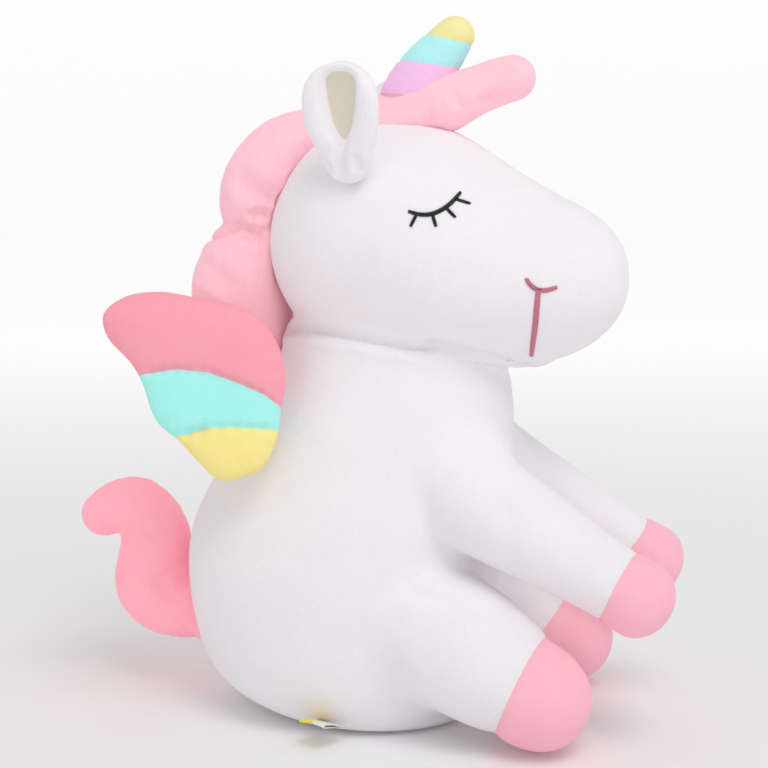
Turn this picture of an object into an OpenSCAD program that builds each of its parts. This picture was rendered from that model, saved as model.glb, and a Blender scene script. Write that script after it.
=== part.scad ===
// Sitting plush unicorn: sewn fabric skins round fibre stuffing.
// X points where the face looks, Y to the animal's left, Z up.
// The origin is the centre of the flat seat panel, on the floor.

/* [Fabric] */
// Thickness of the short-pile fabric skins
skin_t = 1.6; // [1.2:0.1:2.0]
// Clearance between a moving piece and what it moves against
gap = 0.8; // [0.6:0.1:1.0]
// Seam allowance left open between two sewn panels
seam = 0.2; // [0.1:0.1:0.3]

/* [Torso] */
// Radius of the round seat panel
seat_r = 33; // [28:1:34]
// Greatest width of the torso, side to side
body_w = 110; // [104:1:114]
// Height of the neck opening above the seat
neck_z = 138; // [136:0.5:138.5]
// Radius of the firm ball of stuffing in the neck
neck_ball_r = 30; // [28:0.5:31]

/* [Head] */
// Greatest width of the head, side to side
head_w = 91; // [86:1:94]
// Length of the head, nape to nose
head_l = 144; // [140:1:146]
// Thickness of the embroidery thread bundles
thread_d = 1.8; // [1.4:0.1:2.4]

/* [Ears and horn] */
// Height of an ear above its root
ear_h = 43; // [40:1:46]
// Width of an ear
ear_w = 31; // [29:1:34]
// Radius of the horn at its root
horn_r = 12.5; // [11:0.5:13]
// Radius of the horn's round tip
horn_tip_r = 7.5; // [6.3:0.2:8.3]

/* [Mane] */
// Half width of the stuffed mane tube
mane_r = 16; // [14:0.5:17]
// Half thickness of the forelock at its root
forelock_r = 8.5; // [7.5:0.25:9]

/* [Wings] */
// Thickness of a padded wing
wing_t = 13; // [10:0.5:14]
// How far a wing stands away from straight back, in degrees
wing_out = 20; // [16:1:24]

/* [Legs] */
// Radius of a front leg just before the hoof
front_r = 14; // [12:0.5:15]
// Radius of a front hoof
front_hoof_r = 15.2; // [14:0.2:16]
// Radius of a hind leg just before the hoof
hind_r = 20; // [18:0.5:20.5]
// Radius of a hind hoof
hind_hoof_r = 20.6; // [19:0.2:21]

/* [Tail] */
// Greatest radius of the stuffed tail
tail_r = 16.4; // [13:0.2:17]

/* [Hidden] */
white = [0.95, 0.94, 0.96];
pink = [1.0, 0.74, 0.79];
hoof_pink = [1.0, 0.68, 0.73];
coral = [0.99, 0.64, 0.69];
mint = [0.66, 0.96, 0.94];
yellow = [0.98, 0.91, 0.58];
lilac = [0.99, 0.78, 0.94];
cream = [0.93, 0.90, 0.85];
fibre = [0.97, 0.97, 0.95];
ink = [0.08, 0.07, 0.09];
rose = [0.80, 0.48, 0.56];
// Joint centres, each in the part's own frame
NECK = [3, 0, 146];
FRONT = [54, 27, 86];
HIND = [40, 34, 36];
TAIL = [-82, 0, 33];
HORN = [10, 0, 232];
FORELOCK = [32, 0, 243.5];
EAR = [-5, 41.5, 211.5];
WING = [-33, 44, 128];
LABEL = [-8.8, -48.9, 6.2];
front_tilt = 28.5;
hind_tilt = 27;
hind_splay = 0.19;

// ---- points along a smooth curve, and closed lofts through rings ----
function unit(v) = v / norm(v);
function cr(a, b, c, d, t) = 0.5 * (2 * b + (c - a) * t + (2 * a - 5 * b + 4 * c - d) * t * t + (3 * b - a - 3 * c + d) * t * t * t);
function along(P, m) = [for (i = [0:len(P) - 2]) for (k = [0:m - 1])
    cr(P[max(i - 1, 0)], P[i], P[i + 1], P[min(i + 2, len(P) - 1)], k / m), P[len(P) - 1]];
function xyz(q) = [q[0], q[1], q[2]];
function tang(Q, i) = unit(xyz(Q[min(i + 1, len(Q) - 1)]) - xyz(Q[max(i - 1, 0)]));
function nrm(T) = unit(cross([0, 1, 0], T));
function ring(C, N, B, rn, rb, n) = [for (i = [0:n - 1]) C + N * rn * cos(360 * i / n) + B * rb * sin(360 * i / n)];
function flat(L) = [for (a = L) for (b = a) b];

// Closed skin through rings R of n points, with a pole at each end
module skin(R, p0, p1) {
  n = len(R[0]);
  m = len(R);
  polyhedron(points = concat([p0], flat(R), [p1]), faces = concat(
    [for (i = [0:n - 1]) [0, 1 + i, 1 + (i + 1) % n]],
    [for (j = [0:m - 2]) for (i = [0:n - 1]) [1 + j * n + i, 1 + (j + 1) * n + i, 1 + (j + 1) * n + (i + 1) % n]],
    [for (j = [0:m - 2]) for (i = [0:n - 1]) [1 + j * n + i, 1 + (j + 1) * n + (i + 1) % n, 1 + j * n + (i + 1) % n]],
    [for (i = [0:n - 1]) [1 + m * n, 1 + (m - 1) * n + (i + 1) % n, 1 + (m - 1) * n + i]]), convexity = 6);
}

// Stuffed tube along rows [x, y, z, half thickness, half width], grown by g all over.
// k0 and k1 are the depths of its rounded ends, as a share of its radius.
module tube(P, g = 0, m = 2, n = 16, k0 = 1, k1 = 1) {
  Q = along(P, m);
  e = len(Q) - 1;
  T0 = tang(Q, 0);
  T1 = tang(Q, e);
  d0 = k0 * (min(Q[0][3], Q[0][4]) + g);
  d1 = k1 * (min(Q[e][3], Q[e][4]) + g);
  mid = [for (i = [0:e]) let (T = tang(Q, i), N = nrm(T))
    ring(xyz(Q[i]), N, cross(T, N), Q[i][3] + g, Q[i][4] + g, n)];
  start = [for (a = [30, 60]) let (N = nrm(T0))
    ring(xyz(Q[0]) - T0 * d0 * cos(a), N, cross(T0, N), (Q[0][3] + g) * sin(a), (Q[0][4] + g) * sin(a), n)];
  end = [for (a = [60, 30]) let (N = nrm(T1))
    ring(xyz(Q[e]) + T1 * d1 * cos(a), N, cross(T1, N), (Q[e][3] + g) * sin(a), (Q[e][4] + g) * sin(a), n)];
  skin(concat(start, mid, end), xyz(Q[0]) - T0 * d0, xyz(Q[e]) + T1 * d1);
}

// Half space on the side that direction d points to, from point c
module half(c, d, s = 160) {
  a = atan2(d[1], d[0]);
  b = atan2(d[2], norm([d[0], d[1]]));
  translate(c) rotate([0, -b, a]) translate([0, -s, -s]) cube([s, 2 * s, 2 * s]);
}

// Turn children about an axis through point c
module turn(a, v, c) {
  translate(c) rotate(a, v) translate(-c) children();
}
// A piece for the left (s = 1) or the right side (s = -1)
module side(s) {
  if (s > 0) children();
  else mirror([0, 1, 0]) children();
}

// ---- torso ----
// rows: height, centre, half depth, share of the half width
torso_rows = [[0, 0, 34.5, 0.63], [1.5, -2.5, 42, 0.73], [5, -7, 49, 0.82], [12, -12, 55.5, 0.91],
  [22, -15.5, 60, 0.97], [38, -17.5, 63, 1], [58, -18, 64, 1], [75, -15.5, 63, 0.95], [92, -10, 60.5, 0.88],
  [108, -5, 57, 0.8], [122, -1, 53, 0.74], [neck_z - 5, 2, 49, 0.69], [neck_z - 1, 3, 46, 0.65], [neck_z, 3, 43.5, 0.62]];
module torso_form(g = 0, n = 28) {
  R = [for (q = torso_rows) let (z = q[0] - g * (1 - 2 * q[0] / neck_z))
    [for (i = [0:n - 1]) [q[1] + (q[2] + g) * cos(360 * i / n), (body_w / 2 * q[3] + g) * sin(360 * i / n), z]]];
  skin(R, [0, 0, -g], [3, 0, neck_z + g]);
}
// Everything that the torso leaves room for: neck ball, limb roots, tail root
module torso_room() {
  translate(NECK) sphere(r = neck_ball_r + gap, $fn = 40);
  for (s = [1, -1]) side(s) {
    for (a = [-30, -11, 8]) turn(a, [0, 1, 0], FRONT) front_form(gap + 0.4);
    for (a = [-14, -2, 10]) turn(a, [0, 1, 0], HIND) hind_form(gap + 0.2);
  }
  translate(TAIL) sphere(r = tail_r + 1.6, $fn = 32);
}
module torso_skin(s) {
  side(s) color(white) difference() {
    torso_form();
    torso_form(-skin_t);
    translate([-150, -200 + seam / 2, -20]) cube([300, 200, 200]);
    translate([0, 0, -3]) cylinder(r = seat_r + seam, h = 8, $fn = 96);
    torso_room();
  }
}
module torso_panel_left() { torso_skin(1); }
module torso_panel_right() { torso_skin(-1); }
module seat_panel() {
  color(white) cylinder(r = seat_r, h = skin_t, $fn = 96);
}
module torso_stuffing() {
  color(fibre) difference() {
    torso_form(-skin_t - seam);
    translate([0, 0, -3]) cylinder(r = seat_r + 1, h = 3 + skin_t + seam, $fn = 96);
    torso_room();
  }
}
// Folded satin care label, sewn low on the back of the seat: two leaves joined at the fold
label_l = 13;
label_w = 12;
module care_label() {
  color("white") translate(LABEL) rotate([0, 0, 249]) rotate([0, -20, 0]) difference() {
    translate([0, -label_w / 2, -0.5]) cube([label_l, label_w, 1.0]);
    translate([-1, -label_w / 2 - 1, -0.1]) cube([label_l + 0.5, label_w + 2, 0.2]);
  }
}

// ---- neck ----
module neck_stuffing() {
  color(fibre) translate(NECK) sphere(r = neck_ball_r, $fn = 56);
}
module neck_closing_thread() {
  color(white) translate([NECK[0], NECK[1], neck_z + 2.4]) rotate_extrude($fn = 72)
    translate([sqrt(neck_ball_r * neck_ball_r - 32) + 0.7, 0]) circle(d = 1.2, $fn = 12);
}

// ---- head ----
hx = head_l / 144;
head_rows = [[-43.8, 188, 11, 11], [-39.6, 188, 22, 21], [-32, 188.5, 33, 31], [-20.8, 189.5, 42, 39], [-6, 190, 46.5, 43.5],
  [12, 189, 46.5, 45.5], [28, 185.5, 45.5, 44.5], [42, 181.5, 41.5, 41], [56, 177.5, 36.5, 36.5], [68, 175.3, 32, 33],
  [78, 174.8, 27.5, 28.5], [86, 174.8, 22, 23.5], [92, 174.8, 15, 16.5], [95, 174.8, 8, 9]];
module head_form(g = 0, n = 28) {
  R = [for (q = head_rows) [for (i = [0:n - 1])
    [q[0] * hx + g * (2 * (q[0] + 48) / 144 - 1), (q[3] * head_w / 91 + g) * sin(360 * i / n), q[1] - (q[2] + g) * cos(360 * i / n)]]];
  skin(R, [-48 * hx - g, 0, 188], [96 * hx + g, 0, 174.8]);
}
module head_room() {
  translate(NECK) sphere(r = neck_ball_r + 1.6 + gap, $fn = 40);
  for (a = [11, -9]) turn(a, [0, 1, 0], NECK)
    translate([NECK[0], 0, neck_z - 40]) cylinder(r = 49, h = 40 + gap, $fn = 48);
}
module head_skin(s) {
  side(s) color(white) difference() {
    head_form();
    head_form(-skin_t);
    translate([-150, -200 + seam / 2, 80]) cube([300, 200, 200]);
    head_room();
  }
}
module head_panel_left() { head_skin(1); }
module head_panel_right() { head_skin(-1); }
module head_stuffing() {
  color(fibre) difference() {
    head_form(-skin_t - seam);
    head_room();
  }
}
// Embroidery: a round bundle of thread along points that lie on the head
function on_head(x, z) = let (Q = along(head_rows, 6),
    k = min([for (i = [0:len(Q) - 1]) if (Q[i][0] * hx >= x) i]),
    t = (x / hx - Q[k - 1][0]) / (Q[k][0] - Q[k - 1][0]), r = Q[k - 1] * (1 - t) + Q[k] * t,
    c = min(1, abs(z - r[1]) / r[2]))
  [x, r[3] * head_w / 91 * sqrt(1 - c * c), z];
module stitch(P, d, m = 2, n = 6) {
  Q = [for (p = P) concat(p, [d / 2, d / 2])];
  tube(Q, 0, m, n, 0.6, 0.6);
}
lid = [[20, 201.3], [23.4, 200.3], [27.4, 200.2], [31.2, 201.6], [34.5, 204.2], [37.3, 208]];
lashes = [[[22.8, 199.9], [21, 196]], [[28.6, 199.9], [30, 196]], [[33.2, 202.4], [36.4, 199.2]], [[36.2, 205.6], [41, 204]]];
module eye(s) {
  side(s) color(ink) {
    stitch([for (p = lid) on_head(p[0], p[1]) + [0, 0.4 + thread_d / 2, 0]], thread_d);
    for (l = lashes) stitch([for (p = l) on_head(p[0], p[1]) + [0, 0.3 + thread_d / 2, -0.4]], thread_d * 0.7, 1);
  }
}
module eye_left() { eye(1); }
module eye_right() { eye(-1); }
smile = [[62, 177], [63.6, 174.6], [66.2, 172.9], [69.3, 172.8], [72.6, 173.8]];
smile_drop = [[65.8, 170.4], [65.4, 166], [64.7, 160], [63.4, 153], [61.8, 147]];
module mouth() {
  color(rose) for (s = [1, -1]) side(s) {
    stitch([for (p = smile) on_head(p[0], p[1]) + [0.3, 0.4 + thread_d / 2, 0]], thread_d);
    stitch([for (p = smile_drop) on_head(p[0], p[1]) + [0.3, 0.4 + thread_d / 2, -0.3]], thread_d);
  }
}

// ---- mane: one gathered tube, sewn down in three puffs ----
mane_upper_rows = [[20, 0, 239.2, 7.5, 0.75 * mane_r], [10, 0, 236.5, 8, mane_r], [-3, 0, 233, 8, 1.05 * mane_r],
  [-16, 0, 231.5, 9, 1.1 * mane_r], [-29, 0, 230, 11, 1.14 * mane_r], [-42, 0, 223.5, 15.5, 1.2 * mane_r], [-51.5, 0, 212, 16.8, 1.22 * mane_r], [-55.5, 0, 203, 15, 1.15 * mane_r], [-56.5, 0, 199.5, 13, 1.05 * mane_r]];
mane_middle_rows = [[-57, 0, 192, 12.5, 1.05 * mane_r], [-59, 0, 185, 14.5, 1.15 * mane_r], [-62, 0, 177, 17.5, 1.2 * mane_r], [-63, 0, 169.5, 18, 1.14 * mane_r], [-62.5, 0, 165, 16, 1.02 * mane_r]];
mane_lower_rows = [[-63, 0, 138.5, 12, 1.05 * mane_r], [-67.5, 0, 127, 12.5, mane_r], [-74, 0, 117, 9, 0.75 * mane_r]];
module mane_room(g) {
  head_form(seam - g);
  for (a = [-8, 8]) turn(a, [0, 1, 0], HORN) horn_form(gap - g);
}
module mane_upper(g) {
  difference() {
    tube(mane_upper_rows, g, 2, 16, 0.6, 0.15);
    mane_room(g);
  }
}
module mane_middle(g) {
  difference() {
    tube(mane_middle_rows, g, 1, 16, 0.15, 0.45);
    head_form(seam - g);
  }
}
module mane_lower(g) {
  difference() {
    tube(mane_lower_rows, g, 2, 16, 0.4, 0.8);
    torso_form(seam - g);
  }
}
module mane_cover_upper() { color(pink) difference() { mane_upper(0); mane_upper(-skin_t); } }
module mane_stuffing_upper() { color(fibre) mane_upper(-skin_t - seam); }
module mane_cover_middle() { color(pink) difference() { mane_middle(0); mane_middle(-skin_t); } }
module mane_stuffing_middle() { color(fibre) mane_middle(-skin_t - seam); }
module mane_cover_lower() { color(pink) difference() { mane_lower(0); mane_lower(-skin_t); } }
module mane_stuffing_lower() { color(fibre) mane_lower(-skin_t - seam); }
// Thread that gathers the tube between the upper and the middle puff
module mane_gather_thread() {
  color(hoof_pink) translate([-56.8, 0, 195.7]) rotate([0, 15, 0])
    rotate_extrude($fn = 48) translate([7, 0]) circle(d = 0.8, $fn = 12);
}

// ---- ears: a cupped back panel with a lining inside ----
// rows: height share, half width share
ear_rows = [[0.0, 0.42], [0.1, 0.62], [0.25, 0.84], [0.42, 0.98], [0.58, 1.0], [0.74, 0.92], [0.87, 0.72], [0.95, 0.46]];
module ear_plate(w, h, t, cup, up) {
  n = 16;
  R = [for (q = ear_rows) [for (i = [0:n - 1]) let (x = w * q[1] * cos(360 * i / n))
    [x, t * sin(360 * i / n) * (0.5 + 0.5 * q[1]) + cup * x * x / w / w, up + h * q[0]]]];
  skin(R, [0, 0, up - 0.02 * h], [0, 0, up + h * 0.99]);
}
module ear_place() {
  translate(EAR) rotate([-6, 4, 12]) children();
}
module ear_back_form() {
  difference() {
    ear_plate(ear_w / 2, ear_h, 4.2, 2.5, 2);
    translate([0, 2.9, 0]) ear_plate(ear_w / 2 - 7.5, ear_h - 17, 3.6, 1.2, 11);
  }
}
module ear_lining_form() {
  intersection() {
    translate([0, 2.9, 0]) ear_plate(ear_w / 2 - 7.5 - seam, ear_h - 17 - seam, 3.6 - seam, 1.2, 11);
    ear_plate(ear_w / 2, ear_h, 4.2, 2.5, 2);
    translate([0, -3.4, 0]) ear_plate(ear_w / 2 + 3, ear_h + 6, 5.2, 2.3, 0);
  }
}
module ear_left_back() { color(white) ear_place() ear_back_form(); }
module ear_left_lining() { color(cream) ear_place() ear_lining_form(); }
module ear_right_back() { side(-1) color(white) ear_place() ear_back_form(); }
module ear_right_lining() { side(-1) color(cream) ear_place() ear_lining_form(); }

// ---- horn: four coloured bands, leaning forward ----
horn_rows = [[9, 0, 235, horn_r, horn_r], [12, 0, 244, 0.92 * horn_r, 0.92 * horn_r], [17.5, 0, 253, 0.82 * horn_r, 0.82 * horn_r],
  [23.5, 0, 260.5, 0.5 * (0.74 * horn_r + horn_tip_r), 0.5 * (0.74 * horn_r + horn_tip_r)], [28.6, 0, 266, horn_tip_r, horn_tip_r]];
module horn_form(g = 0) { tube(horn_rows, g, 2, 20, 0.5, 1); }
module horn_skin() { difference() { horn_form(0); horn_form(-skin_t); mane_base(); } }
// The head and hair that the horn's root sits in
module mane_base() { for (a = [-8, 0, 8]) turn(a, [0, 1, 0], HORN) head_form(gap); }
module horn_slice(z0, d0, z1, d1) {
  difference() {
    intersection() { horn_skin(); half(z0, d0); }
    half(z1, d1);
  }
}
up1 = [0.1, 0, 0.995];
up2 = [0.14, 0, 0.99];
up3 = [0.24, 0, 0.97];
b1 = [11, 0, 244.7];
b2 = [19.5, 0, 256.2];
b3 = [26, 0, 265.6];
module horn_band_coral() { color([0.96, 0.7, 0.73]) difference() { horn_skin(); half(b1 - up1 * seam, up1); } }
module horn_band_lilac() { color(lilac) horn_slice(b1, up1, b2 - up2 * seam, up2); }
module horn_band_mint() { color(mint) horn_slice(b2, up2, b3 - up3 * seam, up3); }
module horn_tip_yellow() { color(yellow) intersection() { horn_skin(); half(b3, up3); } }
module horn_stuffing() { color(fibre) difference() { horn_form(-skin_t - seam); mane_base(); } }

// ---- forelock: a stuffed curl in front of the horn ----
forelock_rows = [[32, 0, 243.5, forelock_r - 0.8, forelock_r + 1.5], [38, 0, 246, forelock_r - 0.8, forelock_r + 0.4], [45, 0, 248.5, forelock_r - 0.4, forelock_r], [51.6, 0, 249.9, forelock_r - 0.2, forelock_r - 0.2]];
module forelock_form(g) {
  difference() {
    tube(forelock_rows, g, 2, 16, 0.6, 1);
    for (a = [-12, 0, 10]) turn(a, [0, 1, 0], FORELOCK) head_form(gap - g);
    for (q = [[8, 0], [0, -10]]) turn(-q[1], [0, 1, 0], FORELOCK) turn(q[0], [0, 1, 0], HORN) horn_form(gap + 0.2 - g);
  }
}
module forelock_cover() { color(pink) difference() { forelock_form(0); forelock_form(-skin_t); } }
module forelock_stuffing() { color(fibre) forelock_form(-skin_t - seam); }

// ---- wings: padded flats of three fabric strips ----
// outline: distance back from the hinge, height above it
wing_outline = [[8.5, -27], [17.5, -29], [26, -22.5], [33, -15.5], [41, -9.5], [45, -3], [48, 5], [53, 13], [62, 22], [64, 31],
  [56, 38], [44, 40.5], [32, 39.5], [20, 38], [11, 35.5], [4, 31], [-1, 24], [-4, 16], [-5, 8], [-4, 0], [-3, -12], [1.5, -23]];
// pillow section: share of the outline, share of the half thickness
wing_levels = [[0.8, -0.93], [0.93, -0.72], [0.985, -0.36], [1, 0], [0.985, 0.36], [0.93, 0.72], [0.8, 0.93]];
module wing_form(g = 0) {
  c = [24, 8];
  R = [for (l = wing_levels) [for (p = wing_outline) let (d = p - c, q = c + d * l[0] + g * d / norm(d))
    [-q[0], (wing_t / 2 + g) * l[1], q[1]]]];
  skin([for (r = R) r], [-c[0], -(wing_t / 2 + g), c[1]], [-c[0], wing_t / 2 + g, c[1]]);
}
module wing_place(s) { side(s) translate(WING) rotate([12, 0, 0]) rotate([0, 0, -wing_out]) children(); }
module wing_skin() { difference() { wing_form(); wing_form(-skin_t); } }
w1 = [-24, 0, 8.5];
w2 = [-20, 0, -9.5];
e1 = [0.19, 0, 1];
e2 = [-0.08, 0, 1];
module wing_coral() { color(coral) intersection() { wing_skin(); half(w1, e1); } }
module wing_mint() { color(mint) difference() { wing_skin(); half(w1 - e1 * seam, e1); half(w2, -e2); } }
module wing_yellow() { color(yellow) intersection() { wing_skin(); half(w2 - e2 * seam, -e2); } }
module wing_wadding() { color(fibre) wing_form(-skin_t - seam); }
module wing_left_coral() { wing_place(1) wing_coral(); }
module wing_left_mint() { wing_place(1) wing_mint(); }
module wing_left_yellow() { wing_place(1) wing_yellow(); }
module wing_left_wadding() { wing_place(1) wing_wadding(); }
module wing_right_coral() { wing_place(-1) wing_coral(); }
module wing_right_mint() { wing_place(-1) wing_mint(); }
module wing_right_yellow() { wing_place(-1) wing_yellow(); }
module wing_right_wadding() { wing_place(-1) wing_wadding(); }

// ---- legs: a sleeve, a hoof cap and their stuffing ----
// rows: distance along the leg from its hinge, radius, sideways drift
function leg_rows(c, tilt, L) = [for (q = L) [c[0] + q[0] * cos(tilt), c[1] + q[2], c[2] - q[0] * sin(tilt), q[1], q[1]]];
front_rows = leg_rows(FRONT, front_tilt, [[0, 19, 0], [14, 17.4, 0.4], [32, 15.2, 1], [48, front_r, 1.5], [56, front_hoof_r, 1.8], [59, front_hoof_r - 0.2, 1.9]]);
hind_rows = leg_rows(HIND, hind_tilt, [for (q = [[0, 25], [12, 23], [24, hind_r], [31, hind_hoof_r], [34.6, hind_hoof_r - 1]]) [q[0], q[1], hind_splay * q[0]]]);
module front_form(g = 0) { tube(front_rows, g, 2, 18, 1, 0.86); }
module hind_form(g = 0) { tube(hind_rows, g, 2, 20, 1, 0.8); }
front_cut = [FRONT[0] + 48.7 * cos(front_tilt), 0, FRONT[2] - 48.7 * sin(front_tilt)];
hind_cut = [HIND[0] + 24.7 * cos(hind_tilt), 0, HIND[2] - 24.7 * sin(hind_tilt)];
front_dir = [cos(front_tilt), 0, -sin(front_tilt)];
hind_dir = [cos(hind_tilt), 0, -sin(hind_tilt)];
module front_sleeve(s) { side(s) color(white) difference() { front_form(); front_form(-skin_t); half(front_cut - front_dir * seam, front_dir); } }
module front_hoof(s) { side(s) color(hoof_pink) intersection() { difference() { front_form(); front_form(-skin_t); } half(front_cut, front_dir); } }
module front_fill(s) { side(s) color(fibre) front_form(-skin_t - seam); }
module hind_sleeve(s) { side(s) color(white) difference() { hind_form(); hind_form(-skin_t); half(hind_cut - hind_dir * seam, hind_dir); } }
module hind_hoof(s) { side(s) color(hoof_pink) intersection() { difference() { hind_form(); hind_form(-skin_t); } half(hind_cut, hind_dir); } }
module hind_fill(s) { side(s) color(fibre) hind_form(-skin_t - seam); }
module front_leg_left_sleeve() { front_sleeve(1); }
module front_leg_left_hoof() { front_hoof(1); }
module front_leg_left_stuffing() { front_fill(1); }
module front_leg_right_sleeve() { front_sleeve(-1); }
module front_leg_right_hoof() { front_hoof(-1); }
module front_leg_right_stuffing() { front_fill(-1); }
module hind_leg_left_sleeve() { hind_sleeve(1); }
module hind_leg_left_hoof() { hind_hoof(1); }
module hind_leg_left_stuffing() { hind_fill(1); }
module hind_leg_right_sleeve() { hind_sleeve(-1); }
module hind_leg_right_hoof() { hind_hoof(-1); }
module hind_leg_right_stuffing() { hind_fill(-1); }

// ---- tail: a stuffed curl that rises behind the seat ----
tail_rows = [[-82, 0, 33, 12.6, 13], [-91, 0, 36.6, 15.2, 14.8], [-99, 0, 43.4, tail_r + 0.9, tail_r + 0.3], [-100, 0, 55, tail_r - 1, tail_r - 0.8],
  [-100.8, 0, 67, 15, 14.6], [-106, 0, 76.6, 13.4, 13.2], [-116, 0, 77, 11.4, 11.6], [-123.5, 0, 73.5, 9.4, 10]];
module tail_form(g = 0) { tube(tail_rows, g, 2, 14, 1, 0.9); }
module tail_cover() { color(pink) difference() { tail_form(); tail_form(-skin_t); } }
module tail_stuffing() { color(fibre) tail_form(-skin_t - 2.5 * seam); }

seat_panel();
torso_panel_left();
torso_panel_right();
torso_stuffing();
care_label();
neck_stuffing();
neck_closing_thread();
head_panel_left();
head_panel_right();
head_stuffing();
eye_left();
eye_right();
mouth();
mane_cover_upper();
mane_stuffing_upper();
mane_gather_thread();
mane_cover_middle();
mane_stuffing_middle();
mane_cover_lower();
mane_stuffing_lower();
ear_left_back();
ear_left_lining();
ear_right_back();
ear_right_lining();
horn_band_coral();
horn_band_lilac();
horn_band_mint();
horn_tip_yellow();
horn_stuffing();
forelock_cover();
forelock_stuffing();
wing_left_coral();
wing_left_mint();
wing_left_yellow();
wing_left_wadding();
wing_right_coral();
wing_right_mint();
wing_right_yellow();
wing_right_wadding();
front_leg_left_sleeve();
front_leg_left_hoof();
front_leg_left_stuffing();
front_leg_right_sleeve();
front_leg_right_hoof();
front_leg_right_stuffing();
hind_leg_left_sleeve();
hind_leg_left_hoof();
hind_leg_left_stuffing();
hind_leg_right_sleeve();
hind_leg_right_hoof();
hind_leg_right_stuffing();
tail_cover();
tail_stuffing();
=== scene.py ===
import bpy
import math
import numpy as np
from mathutils import Matrix, Vector
from mathutils.bvhtree import BVHTree


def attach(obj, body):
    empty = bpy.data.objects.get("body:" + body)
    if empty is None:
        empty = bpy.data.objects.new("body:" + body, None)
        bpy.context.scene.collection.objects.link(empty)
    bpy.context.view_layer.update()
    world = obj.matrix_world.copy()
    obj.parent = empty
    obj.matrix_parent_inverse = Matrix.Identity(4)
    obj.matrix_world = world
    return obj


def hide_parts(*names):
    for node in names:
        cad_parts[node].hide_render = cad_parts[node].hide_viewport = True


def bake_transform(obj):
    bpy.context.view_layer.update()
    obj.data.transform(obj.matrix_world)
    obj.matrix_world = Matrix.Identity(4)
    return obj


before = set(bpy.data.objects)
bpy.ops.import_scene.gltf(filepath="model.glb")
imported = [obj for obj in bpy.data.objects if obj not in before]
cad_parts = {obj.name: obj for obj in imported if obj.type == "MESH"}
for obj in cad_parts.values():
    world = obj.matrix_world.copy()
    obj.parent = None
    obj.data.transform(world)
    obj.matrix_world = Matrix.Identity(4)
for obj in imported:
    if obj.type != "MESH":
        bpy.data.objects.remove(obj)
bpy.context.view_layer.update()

MM = 0.001
RNG = np.random.default_rng(7)

# ------------------------------------------------------------------ tables shared with the CAD source, in mm
NECK = np.array([3.0, 0, 146])
FRONT = np.array([54.0, 27, 86])
HIND = np.array([40.0, 34, 36])
TAIL = np.array([-82.0, 0, 33])
EAR = np.array([-5.0, 41.5, 211.5])
WING = np.array([-33.0, 44, 128])
LABEL = np.array([-8.8, -48.9, 6.2])

TORSO = [[-1.5, 0, 30, 31], [0, 0, 35, 35], [1.5, -2.5, 42, 40.2], [5, -7, 49, 45.1], [12, -11.5, 55.5, 50],
         [22, -14.5, 59.5, 53.3], [38, -16.5, 62.5, 55], [58, -17.5, 63.5, 55], [75, -15.5, 63, 52.3], [92, -10, 60.5, 48.4],
         [108, -5, 57, 44], [122, -1, 53, 40.7], [133, 2, 49, 38], [142, 3, 45.5, 36], [150, 3, 43, 34.5], [160, 3, 38, 31], [168, 3, 28, 24]]
HEAD = [[-45, 188, 1, 1], [-43.6, 188, 11, 11], [-39.4, 188, 22, 21], [-31.8, 188.5, 33, 31], [-20.6, 189.5, 42, 39], [-6, 190, 46.5, 43.5],
        [12, 189, 46.5, 45.5], [28, 185.5, 45.5, 44.5], [42, 181.5, 41.5, 41], [56, 177.5, 36.5, 36.5], [68, 175.3, 32, 33],
        [78, 174.8, 27.5, 28.5], [86, 174.8, 22, 23.5], [92, 174.8, 15, 16.5], [95, 174.8, 8, 9], [96, 174.8, 1, 1]]
MANE = [[26, 0, 241.2, 9.5, 13.5], [14, 0, 238.5, 9, 15.8], [0, 0, 234.6, 8.8, 17], [-14, 0, 232, 9.4, 17.6], [-28, 0, 229.4, 11.4, 18.6],
        [-40, 0, 222.8, 16.2, 19.6], [-48.5, 0, 212.5, 18, 20], [-52.5, 0, 203.5, 16, 19], [-54, 0, 196, 13.4, 16.5], [-56, 0, 186.5, 15.8, 18.5],
        [-59.5, 0, 176, 19.6, 21], [-60.5, 0, 165, 20.6, 21], [-58, 0, 152, 18.6, 19.5], [-59, 0, 140, 16.6, 18],
        [-64, 0, 127, 14.5, 16.4], [-72, 0, 116, 10, 12.4]]
FORELOCK = [[24, 0, 240.6, 9.6, 13.5], [31, 0, 243.4, 9.0, 11.4], [38, 0, 246.0, 8.2, 9.4], [45, 0, 248.4, 8.5, 8.8], [51.4, 0, 249.9, 8.6, 8.4]]
HORN = [[8.6, 0, 233, 13.2, 12.7], [11, 0, 243, 12.6, 12.2], [16.6, 0, 253, 11.2, 11], [23, 0, 261.2, 9.2, 9.1], [28, 0, 267, 7.6, 7.6]]
BANDS = [([11, 244.7], [0.1, 0.995]), ([19.5, 256.2], [0.14, 0.99]), ([26, 265.6], [0.24, 0.97])]
TAILS = [[-74, 0, 31, 11.5, 12], [-82, 0, 33.5, 13.2, 13], [-91, 0, 36.4, 15.8, 15], [-99.5, 0, 43, 17.9, 17], [-99.9, 0, 55, 15.7, 16], [-100.6, 0, 67, 15.2, 14.8],
         [-106, 0, 76.6, 13.4, 13.2], [-116, 0, 77, 11.4, 11.6], [-123.5, 0, 73.5, 9.6, 10]]
WING_LINE = [[8.5, -27], [17.5, -29], [26, -22.5], [33, -15.5], [41, -9.5], [45, -3], [48, 5], [53, 13], [62, 22], [64, 31],
             [56, 38], [44, 40.5], [32, 39.5], [20, 38], [11, 35.5], [4, 31], [-1, 24], [-4, 16], [-5, 8], [-4, 0], [-3, -12], [1.5, -23]]


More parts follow.
